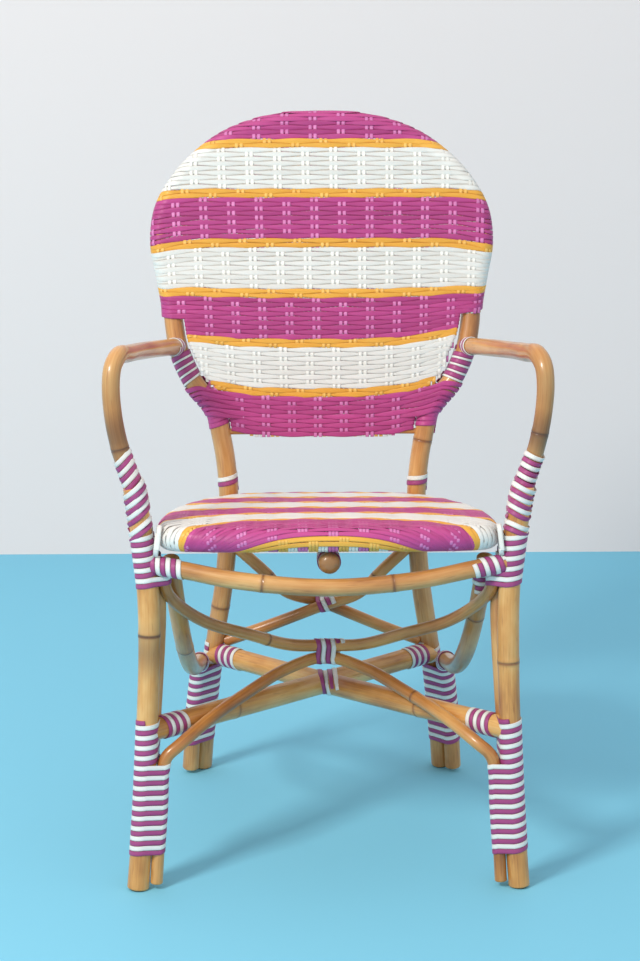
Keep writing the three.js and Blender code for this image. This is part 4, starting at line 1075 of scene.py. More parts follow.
class Winding(Helix):
    """A helix that strips follow round the hull of the poles they bind.

    In each plane across the axis a pole shows as an ellipse, and the strip touches the hull
    of those ellipses.
    """

    steps_per_turn = 40
    bisections = 18
    least_step = 0.35

    def __init__(self, axis: np.ndarray, origin: np.ndarray, members: Sequence[Member],
                 turns: float, phase: float = TURN / 4, pitch: float = 12.6,
                 gap: float = 0.15) -> None:
        """Sets out the helix.

        Args:
            axis: The direction that the turns advance in.
            origin: A point of the plane of the first turn's start.
            members: The bound poles, the main one first.
            turns: How many turns a strip makes.
            phase: The angle at which the first strip starts.
            pitch: The advance in one turn.
            gap: The clearance over the poles.
        """
        self.axis = unit(axis)
        self.start = float(origin @ self.axis)
        self.members = list(members)
        self.turns, self.phase, self.pitch, self.gap = turns, phase, pitch, gap
        right = np.cross(BACKWARD, self.axis)
        if np.linalg.norm(right) < 0.3:
            right = np.cross(ACROSS, self.axis)
        self.right = unit(right)
        self.ahead = unit(np.cross(self.axis, self.right))
        self.offset = 0.0

    def station_at(self, angle: float) -> float:
        """The distance along the axis at an angle of the helix."""
        return self.start + self.offset + self.pitch * (angle - self.phase) / TURN

    def _facing(self, member: Member) -> float:
        """The angle at which a member lies from the main one, which the member keeps."""
        if member.facing is None:
            member.facing = 0.0
            total = self.pitch * self.turns
            for share in np.linspace(0, 1, 9):
                station = self.start + total * share
                hit = member.line.across(self.axis, station)
                main = self.members[0].line.across(self.axis, station)
                if hit and main:
                    apart = hit[0] - main[0]
                    member.facing = math.atan2(apart @ self.ahead, apart @ self.right)
                    break
        return member.facing

    def _crossing(self, member: Member, station: float,
                  angle: float) -> Optional[tuple[np.ndarray, np.ndarray]]:
        """Finds where a member crosses a plane, if this turn takes it in.

        Args:
            member: The member.
            station: The distance of the plane along the axis.
            angle: The angle of the helix there.

        Returns:
            The crossing point and the member's direction, or None.
        """
        passing = station
        if member is not self.members[0]:
            facing = self._facing(member)
            passing = self.station_at(facing + round((angle - facing) / TURN) * TURN)
        if passing - self.start > member.to:
            return None
        passed = member.line.across(self.axis, passing)
        return passed and (member.line.across(self.axis, station) or passed)

    def _reach(self, angle: float) -> tuple[int, np.ndarray, np.ndarray]:
        """Finds the bound pole that lies farthest out at an angle.

        Args:
            angle: The angle of the helix.

        Returns:
            The pole's number, the touching point and the outward direction.
        """
        station = self.station_at(angle)
        out = self.right * math.cos(angle) + self.ahead * math.sin(angle)
        best = None
        for number, member in enumerate(self.members):
            hit = self._crossing(member, station, angle)
            if not hit:
                continue
            centre, direction = hit
            slope = abs(direction @ self.axis)
            flat = direction - self.axis * (direction @ self.axis)
            size = np.linalg.norm(flat)
            long = flat / size if size > 1e-6 else self.right
            wide = np.cross(self.axis, long)
            b = member.radius + self.gap
            a = b / slope
            x, y = a * (out @ long), b * (out @ wide)
            place = centre + (long * a * x + wide * b * y) / math.hypot(x, y)
            far = place @ out
            if best is None or far > best[0]:
                best = (far, number, place)
        return best[1], best[2], out

    def _edge(self, low: tuple, high: tuple) -> list[tuple]:
        """Two stops on either side of the angle at which the strip leaves one pole for another."""
        first = low[1]
        for _ in range(self.bisections):
            middle = (low[0] + high[0]) / 2
            probe = (middle, *self._reach(middle))
            low, high = (probe, high) if probe[1] == first else (low, probe)
        return [low, high]

    def path(self, offset: float,
             turns: Optional[float]) -> tuple[np.ndarray, np.ndarray, np.ndarray]:
        """The path of one strip: even steps, and both tangent points where it leaves a pole."""
        self.offset = offset
        turns = turns or self.turns
        count = max(int(round(turns * self.steps_per_turn)), 3)
        stops: list[tuple] = []
        for i in range(count + 1):
            angle = self.phase + i * (TURN * turns / count)
            stop = (angle, *self._reach(angle))
            if stops and stops[-1][1] != stop[1]:
                stops += self._edge(stops[-1], stop)
            stops.append(stop)
        points, outs = [], []
        for angle, _, place, out in stops:
            settled = place + self.axis * (self.station_at(angle) - place @ self.axis)
            if not points or np.linalg.norm(settled - points[-1]) > self.least_step:
                points.append(settled)
                outs.append(out)
        tangents = headings(np.array(points))
        widths = units(self.axis - tangents * (tangents @ self.axis)[:, None])
        normals = np.cross(tangents, widths)
        normals *= np.sign(np.sum(normals * np.array(outs), axis=1))[:, None]
        return np.array(points), widths, normals


class Coil(Helix):
    """A helix round one bent pole, square to it all along."""

    steps_per_turn = 36

    def __init__(self, line: Line, radius: float, start: float, end: float,
                 pitch: float = 12.6, gap: float = 0.15, phase: float = 0.0) -> None:
        """Sets out the helix."""
        self.line, self.radius, self.start, self.end = line, radius + gap, start, end
        self.pitch, self.phase = pitch, phase

    def path(self, offset: float,
             turns: Optional[float]) -> tuple[np.ndarray, np.ndarray, np.ndarray]:
        """The path of one strip, in even steps."""
        whole = turns or (self.end - self.start) / self.pitch
        turned = np.linspace(0, whole, max(int(whole * self.steps_per_turn), 4))
        runs = self.start + offset + turned * self.pitch
        centres = self.line.place(np.clip(runs, 0, self.line.length))
        sides, aheads = carried_frames(centres, ACROSS)
        angles = self.phase + turned * TURN
        outs = sides * np.cos(angles)[:, None] + aheads * np.sin(angles)[:, None]
        points = centres + outs * self.radius
        return points, np.cross(outs, headings(points)), outs


@dataclass
class Lashing:
    """A lashing of two strips that run side by side, a magenta and as a rule a white one."""

    node: str
    helix: Helix
    magenta: StripShape = StripShape()
    white: StripShape = StripShape()
    white_offset: float = 6.3
    white_turns: Optional[float] = None
    white_node: Optional[str] = None
    second: Strip = Strip.WHITE
    node_free: bool = False
    only: Optional[Strip] = None
    finishes: dict[Strip, StripFinish] = field(default_factory=lambda: BINDINGS)

    def build(self) -> None:
        """Makes both strips, each a piece of its own."""
        stands_for = None if self.node_free else self.node
        self.lay(self.node, self.only or Strip.MAGENTA, self.magenta, 0.0, None, stands_for)
        if self.only is None:
            self.lay(self.white_node or f"{self.node}_second", self.second, self.white,
                     self.white_offset, self.white_turns, self.white_node)

    def lay(self, name: str, colour: Strip, shape: StripShape, offset: float,
            turns: Optional[float], replaces: Optional[str]) -> None:
        """Makes one strip."""
        skein = Skein(f"{name}_strip")
        skein.add(self.helix.strip(shape, offset, turns))
        skein.piece(self.finishes[colour], replaces)


@dataclass
class Lashings:
    """All the lashings of the chair. Heights and lengths along poles are in millimetres."""

    layout: Layout
    front_leg_heights: tuple = (43.0, 212.8)
    front_leg_pitch: float = 12.6
    brace_bounds: tuple = (120.0, 113.0)
    seat_joint_height: float = 374.5
    seat_joint_turns: float = 4.8
    seat_joint_bound: float = 30.0
    arm_heights: tuple = (456.0, 527.5)
    arm_starts: tuple = (458.0, 470.0)
    arm_turns: tuple = (6.0, 4.4)
    arm_slant: float = 0.4
    arm_pitch: float = 11.6
    taper_heights: tuple = (494.0, 530.0)
    rail_tie: tuple = (4.0, 42.0)
    cross_slant: tuple = (0.62, 0.1)
    cross_height: float = 436.0
    cross_turns: float = 1.3
    ring_tie_span: tuple = (180.0, 236.0)
    ring_tie_places: tuple = ((12.0, 442.0), (8.0, 424.0))
    ring_tie_radius: float = 8.5
    ring_tie_middle: tuple = (201.5, 12.0, 436.0)
    ring_tie_slant: float = 0.12
    ring_tie_pitch: float = 1.2
    ring_tie_turns: float = 1.04
    back_leg_heights: tuple = (44.0, 168.0)
    back_leg_turns: float = 11.4
    brace_bound: float = 124.0
    brace_top: tuple = (10.0, 40.0)
    brace_foot_height: float = 165.0
    brace_foot: tuple = (-52.0, -8.0)
    corner_heights: tuple = (488.0, 535.0)
    post_heights: tuple = (408.6, 423.7)
    arm_back_heights: tuple = (555.0, 592.0)
    arm_back_pitch: float = 9.6
    arm_end: tuple = (-21.0, -1.0)
    arm_end_pitch: float = 9.0
    thin_offset: float = -4.6
    stretcher_margins: tuple = (20.0, 16.0)
    stretcher_turns: float = 2.8
    middle_advance: float = 5.9
    bearer_start: float = 3.0
    bearer_turns: float = 3.0
    corner_strip: StripShape = StripShape(6.6, 1.1)
    band: StripShape = StripShape(6.4, 1.0)
    thin: StripShape = StripShape(3.0, 1.2)

    @staticmethod
    def half(line: Line, side: int) -> Line:
        """The half of a symmetric line on one side."""
        return line.kept(line.points[:, 0] * side > -0.3)

    @staticmethod
    def along(line: Line, low: float, high: float) -> np.ndarray:
        """The direction of a line between two heights."""
        return unit(line.at(high) - line.at(low))

    def build(self) -> None:
        """Makes every lashing."""
        for side in Side:
            self.build_front(side)
            self.build_seat_ties(side)
            self.build_rear(side)
            self.build_arm_end(side)
            self.build_ends(side)
        self.build_middle()

    def build_front(self, side: Side) -> None:
        """Makes the lashings on a front leg and the arm that stands behind it."""
        lay, s, w = self.layout, side.value, side.word
        leg, arm = Member(lay.leg(s), lay.leg_radius), Member(lay.arm(s), lay.arm_radius)
        lower, upper = self.half(lay.lower_brace(), s), self.half(lay.upper_brace(), s)
        low, high = self.front_leg_heights
        turns = (high - low) / self.front_leg_pitch
        bound = self.brace_bounds[side is Side.RIGHT]
        Lashing(f"front_leg_lashing_{w}", Winding(
            self.along(leg.line, low, high), leg.line.at(low),
            [leg, Member(lower, lay.brace_radius, bound), arm], turns),
            white_turns=turns - 0.5, white_node=f"front_leg_lashing_white_{w}").build()
        leg, arm = Member(leg.line, leg.radius), Member(arm.line, arm.radius)
        Lashing(f"seat_joint_lashing_{w}", Winding(
            UP, leg.line.at(self.seat_joint_height),
            [leg, arm, Member(upper, lay.brace_radius, self.seat_joint_bound)],
            self.seat_joint_turns)).build()
        slanted = unit(self.along(arm.line, *self.arm_heights) + ACROSS * (self.arm_slant * s))
        low, high = self.taper_heights
        taper = Member(Line.straight(leg.line.at(low), arm.line.at(high)), lay.arm_radius)
        Lashing(f"arm_lashing_{w}", Winding(
            slanted, arm.line.at(self.arm_starts[0]), [arm, Member(leg.line, leg.radius), taper],
            self.arm_turns[0], pitch=self.arm_pitch)).build()
        Lashing(f"arm_inner_lashing_{w}", Winding(
            slanted, arm.line.at(self.arm_starts[1]), [arm], self.arm_turns[1],
            pitch=self.arm_pitch, gap=0.05), node_free=True).build()

    def build_seat_ties(self, side: Side) -> None:
        """Makes the strips that tie the seat ring and the front rail to a front leg."""
        lay, s, w = self.layout, side.value, side.word
        leg, rail = lay.leg(s), lay.rail()
        beside = rail if side is Side.RIGHT else Line(rail.points[::-1])
        Lashing(f"rail_tie_{w}", Coil(beside, lay.rail_radius, *self.rail_tie, phase=s * 1.2),
                node_free=True).build()
        out, back = self.cross_slant
        Lashing(f"leg_cross_{w}", Winding(
            unit(np.array([out * s, back, 1.0])), leg.at(self.cross_height),
            [Member(leg, lay.leg_radius), Member(lay.arm(s), lay.arm_radius)],
            self.cross_turns, gap=0.3), node_free=True).build()
        near, far = self.ring_tie_span
        ends = [Member(Line.straight((s * near, y, z), (s * far, y, z)), self.ring_tie_radius)
                for y, z in self.ring_tie_places]
        x, y, z = self.ring_tie_middle
        loop = Winding(unit(np.array([s, 0.0, self.ring_tie_slant])), np.array([s * x, y, z]),
                       ends, self.ring_tie_turns, -TURN / 4, pitch=self.ring_tie_pitch)
        Lashing(f"ring_tie_{w}", loop, node_free=True, only=Strip.WHITE).build()

    def build_rear(self, side: Side) -> None:
        """Makes the lashings on a back leg and post."""
        lay, s, w = self.layout, side.value, side.word
        post, brace, radius = lay.post(s), lay.side_brace(s), lay.side_brace_radius
        low, high = self.back_leg_heights
        Lashing(f"back_leg_lashing_{w}", Winding(
            self.along(post, low, high), post.at(low),
            [Member(post, lay.frame_radius), Member(brace, radius, self.brace_bound)],
            self.back_leg_turns)).build()
        if side is Side.RIGHT:
            Lashing(f"brace_top_lashing_{w}", Coil(brace, radius, *self.brace_top, gap=0.3),
                    node_free=True).build()
        foot = brace.run_at(self.brace_foot_height)
        Lashing(f"brace_foot_lashing_{w}", Coil(
            brace, radius, foot + self.brace_foot[0], foot + self.brace_foot[1], gap=0.3),
            node_free=True).build()
        corner_runs, post_runs, arm_runs = (
            [post.run_at(height) for height in heights]
            for heights in (self.corner_heights, self.post_heights, self.arm_back_heights))
        Lashing(f"back_corner_lashing_{w}", Coil(
            post, lay.frame_radius, *corner_runs, gap=0.4),
            self.corner_strip, self.corner_strip, second=Strip.MAGENTA, finishes=STRIPS).build()
        Lashing(f"post_lashing_{w}", Coil(post, lay.frame_radius, *post_runs)).build()
        Lashing(f"arm_back_lashing_{w}", Coil(
            post, lay.frame_radius, *arm_runs, pitch=self.arm_back_pitch, gap=0.5,
            phase=TURN / 4),
            self.band, self.thin, -self.arm_back_pitch / 2).build()

    def build_arm_end(self, side: Side) -> None:
        """Makes the lashing on the end of an arm, beside the post."""
        arm = self.layout.arm(side.value)
        start, end = (arm.length + off for off in self.arm_end)
        Lashing(f"arm_end_lashing_{side.word}", Coil(
            arm, self.layout.arm_radius, start, end, pitch=self.arm_end_pitch, gap=0.3),
            self.band, self.thin, self.thin_offset, node_free=True).build()

    def build_ends(self, side: Side) -> None:
        """Makes the lashings near both ends of the stretcher that starts on a side."""
        points = self.layout.stretcher(side.value).points
        for word, points, margin in zip(("front", "rear"), (points, points[::-1]),
                                        self.stretcher_margins):
            axis = unit(points[1] - points[0])
            Lashing(f"stretcher_{word}_lashing_{side.word}", Winding(
                axis, points[0] + axis * margin,
                [Member(Line(points), self.layout.stretcher_radius)],
                self.stretcher_turns)).build()

    def build_middle(self) -> None:
        """Makes the lashings in the chair's middle plane."""
        lay = self.layout
        braces = [Member(line, lay.brace_radius) for line in (lay.upper_brace(), lay.lower_brace())]
        crossing, rear = (
            [Member(line(s), radius) for s in (-1, 1)]
            for line, radius in ((lay.stretcher, lay.stretcher_radius),
                                 (lay.rear_brace, lay.rear_brace_radius)))
        for name, tilt, turns, members in (("cross_lashing", 0.0, 1.5, crossing),
                                           ("tie_lashing", -0.1, 2.4, braces),
                                           ("rear_tie_lashing", 0.15, 1.5, rear)):
            middle = members[0].line.across(ACROSS, 0.0)[0]
            axis = unit(ACROSS + UP * tilt)
            Lashing(name, Winding(axis, middle - axis * self.middle_advance * turns, members, turns,
                                  gap=0.3)).build()
        Lashing("bearer_lashing", Winding(
            BACKWARD, BACKWARD * self.bearer_start, [Member(lay.bearer(), lay.bearer_radius)],
            self.bearer_turns, 0.0)).build()


# Weaving


class Sleeve:
    """A woven surface that lies flat inside a loop of pole and wraps round the pole.

    Places are given in the two coordinates that the sheet spreads in. Past the pole's centre
    line the distance from it is laid off round the pole.
    """

    stride = 2.4
    most_strides = 90
    most_slip = 4

    def __init__(self, line: Line, plane: tuple[int, int], face: np.ndarray, radius: float,
                 centre: tuple[float, float], closed: bool) -> None:
        """Sets out the surface.

        Args:
            line: The centre line of the pole.
            plane: The two coordinates that the sheet spreads in.
            face: The unit direction that the sheet faces.
            radius: The distance of the strands' middles from the pole's centre line.
            centre: A place inside the loop, in the two coordinates.
            closed: Whether the line is a closed loop.
        """
        self.line, self.plane, self.face = line, plane, face
        self.radius, self.closed = radius, closed
        self.flat = line.points[:, list(plane)]
        tangents = np.gradient(self.flat, axis=0)
        speeds = np.linalg.norm(tangents, axis=1)
        self.tangents = tangents / speeds[:, None]
        self.stretch = np.gradient(line.run) / speeds
        normals = np.stack([self.tangents[:, 1], -self.tangents[:, 0]], -1)
        inward = np.asarray(centre) - self.flat
        if np.sum(np.sign(np.sum(normals * inward, axis=1))) > 0:
            normals = -normals
        self.normals = normals

    def nearest(self, places: np.ndarray) -> tuple[np.ndarray, np.ndarray, np.ndarray]:
        """Finds what lies nearest on the pole's centre line.

        Args:
            places: Places in the sheet's two coordinates.

        Returns:
            The running lengths, the distances outside the line, and the outward directions.
        """
        apart = places[:, None] - self.flat[None]
        index = np.argmin(np.sum(apart ** 2, axis=2), axis=1)
        away = apart[np.arange(len(places)), index]
        along = np.sum(away * self.tangents[index], axis=1) * self.stretch[index]
        distance = np.sum(away * self.normals[index], axis=1)
        slip = np.clip(along, -self.most_slip, self.most_slip)
        return self.line.run[index] + slip, distance, self.normals[index]

    def wrapped(self, places: np.ndarray,
                sheet: Callable[[np.ndarray], np.ndarray]) -> tuple[np.ndarray, np.ndarray]:
        """The surface at these places.

        Args:
            places: Places in the sheet's two coordinates.
            sheet: Gives the points of the flat part.

        Returns:
            The points and the outward normals.
        """
        run, distance, _ = self.nearest(places)
        points = sheet(places)
        normals = np.tile(self.face, (len(places), 1))
        past = distance > 0
        if past.any():
            total = self.line.length
            run = np.mod(run[past], total) if self.closed else np.clip(run[past], 0, total)
            angle = (distance[past] / self.radius)[:, None]
            out = np.zeros((len(run), 3))
            for k, axis in enumerate(self.plane):
                out[:, axis] = np.interp(run, self.line.run, self.normals[:, k])
            normals[past] = units(out) * np.sin(angle) + self.face * np.cos(angle)
            points[past] = self.line.place(run) + normals[past] * self.radius
        return points, normals

    def carried_on(self, place: np.ndarray, ahead: np.ndarray, until: float,
                   turning: Callable[[np.ndarray, float], float]) -> np.ndarray:
        """Carries a strand's path on past the pole's centre line and round the pole.

        Args:
            place: The path's last place.
            ahead: Its direction there.
            until: The distance outside the line at which it ends.
            turning: Gives, for a place and its distance, how far it has turned outwards.

        Returns:
            The further places.
        """
        places = []
        for _ in range(self.most_strides):
            _, distance, out = self.nearest(place[None])
            if distance[0] > until:
                break
            share = turning(place, float(distance[0]))
            place = place + unit(ahead * (1 - share) + out[0] * share) * self.stride
            places.append(place)
        return np.array(places).reshape(-1, 2)


def ribbon(points: np.ndarray, normals: np.ndarray, shape: StripShape, lifts: np.ndarray,
           spread: Optional[np.ndarray] = None) -> np.ndarray:
    """The rings of a strip laid along a path on a surface.

    Args:
        points: The path on the surface.
        normals: The surface's normals along it.
        shape: The strip's section.
        lifts: How far the strip's middle lies above the surface at each point.
        spread: What the strip's width is multiplied by at each point, if it varies.

    Returns:
        The rings in millimetres.
    """
    middle = points + normals * lifts[:, None]
    tangents = headings(middle)
    across = units(np.cross(normals, tangents))
    return shape.swept(middle, across, np.cross(tangents, across), spread, shape.thickness / 2)


@dataclass
class Row:
    """A row of weft: its colour, its place down or along the sheet and its phase."""

    colour: Strip
    place: float
    phase: int


@dataclass
class Weave:
    """A plain weave over a looped pole: rows of weft over sets of warps in each colour.

    Its first coordinate, u, runs across the chair from the middle, and v down or along it.
    """

    layout: Layout
    name: str = "weave"
    node: str = "weave"
    radius: float = 15.2
    weft: StripShape = StripShape(6.1, 1.15)
    warp: StripShape = StripShape(4.7, 1.05)
    weft_wave: float = 0.8
    warp_wave: float = 0.72
    float_spread: float = 0.24
    waver: float = 0.09
    spread_waver: float = 0.04
    waver_knots: int = 10
    seed: int = 400
    step: float = 2.4
    reach: float = 66.0
    half_width: float = 262.0
    float_sink: float = 1.35
    edge_lift: float = -0.4
    edge_margin: float = 3.5
    warp_offs: tuple = (0.0,)
    warp_span: tuple = (0.0, 1.0)
    warp_step: float = 1.4
    first: float = 0.0
    bands: tuple = ()
    column_span: tuple = (0.0, 1.0)
    column_pitch: tuple = (1.0, 1.0)

    colours = (Strip.MAGENTA, Strip.WHITE, Strip.SAFFRON)
    columns_each_side = 6
    column_zero: ClassVar[dict[Strip, tuple[float, float]]] = {}

    def shift(self, row: float, u: np.ndarray) -> np.ndarray:
        """How far a row lies from its place at these distances from the middle."""
        raise NotImplementedError

    def sheet(self, places: np.ndarray) -> np.ndarray:
        """The points of the sheet's flat part."""
        raise NotImplementedError

    def turning(self, place: np.ndarray, distance: float) -> float:
        """How far a row that leaves the sheet has turned outwards."""
        raise NotImplementedError

    def under(self, places: np.ndarray, distance: np.ndarray) -> np.ndarray:
        """Whether a warp runs at these places, which lie so far outside the pole's line."""
        raise NotImplementedError

    def sheet_under(self, row: Row) -> Callable[[np.ndarray], np.ndarray]:
        """What gives the points of the flat part that a row lies on."""
        return self.sheet

    def leaving(self, row: Row) -> float:
        """The least distance from the middle at which a row may leave the sheet."""
        return 0.0

    def lay_more(self, skeins: dict[Strip, Skein]) -> None:
        """Lays what a sheet has beside its rows, which is nothing here."""

    def rows(self) -> list[Row]:
        """Every row of weft, spread evenly over its band."""
        rows, start = [], self.first
        for colour, count, end, phase in self.bands:
            rows += [Row(colour, mix(start, end, (k + 0.5) / count), phase + k)
                     for k in range(count)]
            start = end
        return rows

    def columns(self, colour: Strip, v: np.ndarray) -> np.ndarray:
        """Where the sets of warps of a colour cross these places along the sheet."""
        centre = np.interp(v, self.column_span, self.column_zero[colour])
        pitch = np.interp(v, self.column_span, self.column_pitch)
        numbers = np.arange(-self.columns_each_side, self.columns_each_side + 1)
        return centre[None] + numbers[:, None] * pitch[None]

    def half_row(self, row: Row, side: int) -> tuple[np.ndarray, np.ndarray, np.ndarray]:
        """One half of a row, from the middle out and round the pole.

        Args:
            row: The row.
            side: The side that it runs to.

        Returns:
            The path's places, its points and its normals.
        """
        us = side * np.arange(0, self.half_width, self.step)
        places = np.stack([us, row.place + self.shift(row.place, us)], -1)
        _, distance, _ = self.sleeve.nearest(places)
        leaves = np.nonzero(((distance > 0) & (np.abs(us) > self.leaving(row)))
                            | (distance > self.reach))[0]
        stop = int(leaves[0]) + 1 if len(leaves) else len(us)
        places = places[:max(stop, 3)]
        further = self.sleeve.carried_on(places[-1], unit(places[-1] - places[-2]), self.reach,
                                         self.turning)
        places = np.concatenate([places, further])
        return places, *self.sleeve.wrapped(places, self.sheet_under(row))

    def swell(self, row: Row, us: np.ndarray) -> np.ndarray:
        """How a row passes over and under the warps of its colour."""
        columns = self.columns(row.colour, np.array([row.place]))[:, 0]
        numbers = np.interp(us, columns, np.arange(len(columns)))
        return np.cos(math.pi * (numbers + row.phase))

    def calm(self, places: np.ndarray) -> np.ndarray:
        """How much of the weave's wave is left at these places."""
        _, distance, _ = self.sleeve.nearest(places)
        return np.clip(1.25 - distance / (self.radius * 1.1), 0, 1)

    def lay_row(self, row: Row, number: int) -> np.ndarray:
        """The rings of one row.

        Args:
            row: The row.
            number: Its number, which sets how it wavers.

        Returns:
            The rings in millimetres.
        """
        left, right = (self.half_row(row, side) for side in (-1, 1))
        places, points, normals = (np.concatenate([a[:0:-1], b]) for a, b in zip(left, right))
        us = places[:, 0]
        steps = np.random.default_rng(number + self.seed).normal(0, 1, (2, self.waver_knots))
        knots = np.linspace(us[0], us[-1], self.waver_knots)
        rise, spread = (np.interp(us, knots, row_steps) for row_steps in steps)
        swell, calm = self.swell(row, us), self.calm(places)
        return ribbon(points, normals, self.weft,
                      self.weft_wave * swell * calm + rise * self.waver * calm,
                      1 + self.float_spread * swell * calm + self.spread_waver * spread)

    def warps(self, colour: Strip) -> list[tuple[np.ndarray, int]]:
        """The path of each warp of a colour, and the number of the set that it belongs to."""
        found = []
        v = np.arange(*self.warp_span, self.warp_step)
        for column, us in enumerate(self.columns(colour, v)):
            for off in self.warp_offs:
                places = np.stack([us + off, v], -1)
                _, distance, _ = self.sleeve.nearest(places)
                stretches = unbroken(np.nonzero(self.under(places, distance))[0])
                found += [(places[stretch], column) for stretch in stretches]
        return found

    def lay_warp(self, colour: Strip, places: np.ndarray, column: int,
                 rows: list[Row]) -> Optional[np.ndarray]:
        """The rings of one warp, which weaves in its own colour's bands and floats elsewhere.

        Args:
            colour: The warp's colour.
            places: Its path.
            column: The number of its set, which sets its phase.
            rows: Every row.

        Returns:
            The rings in millimetres, or None where it is too short.
        """
        if len(places) < 6:
            return None
        u, v = np.array([float(np.median(places[:, 0]))]), places[:, 1]
        levels = np.array([row.place + float(self.shift(row.place, u)[0]) for row in rows])
        order = np.argsort(levels)
        phases = np.array([row.phase for row in rows])[order]
        own = np.array([row.colour is colour for row in rows])[order]
        number = np.interp(v, levels[order], np.arange(len(rows)))
        low = np.clip(number.astype(int), 0, len(rows) - 2)
        near = np.clip(np.round(number).astype(int), 0, len(rows) - 1)
        sign = -np.cos(math.pi * (phases[near] + column))
        woven = own[near] & (own[low] | own[low + 1])
        bump = np.cos(math.pi * np.clip(number - near, -0.5, 0.5))
        lifts = np.where(woven, self.warp_wave * sign * np.sqrt(np.clip(bump, 0, 1)),
                         -(self.weft_wave + self.float_sink))
        beyond = (v < levels.min() - self.edge_margin) | (v > levels.max() + self.edge_margin)
        lifts = np.where(beyond, self.edge_lift, lifts)
        lifts = np.convolve(np.pad(lifts, 2, mode="edge"), [0.1, 0.2, 0.4, 0.2, 0.1], "valid")
        points, normals = self.sleeve.wrapped(places, self.sheet)
        keep = np.ones(len(points), bool)
        still = ~np.convolve(woven, np.ones(9), "same").astype(bool)
        keep[still] = np.arange(len(points))[still] % 4 == 0
        keep[[0, -1]] = True
        return ribbon(points[keep], normals[keep], self.warp, lifts[keep])

    def build(self) -> None:
        """Makes the rows and the warps, a piece for each colour."""
        rows = self.rows()
        skeins = {c: Skein(f"{self.name}_weft_{c.value}") for c in self.colours}
        for number, row in enumerate(rows):
            skeins[row.colour].add(self.lay_row(row, number))
        self.lay_more(skeins)
        for colour, skein in skeins.items():
            skein.piece(STRIPS[colour], self.node if colour is Strip.MAGENTA else None)
        for colour in self.colours:
            skein = Skein(f"{self.name}_warp_{colour.value}")
            for places, column in self.warps(colour):
                rings = self.lay_warp(colour, places, column, rows)
                if rings is not None:
                    skein.add(rings)
            skein.piece(WARPS_PAINTED_HIGHLIGHT[colour])


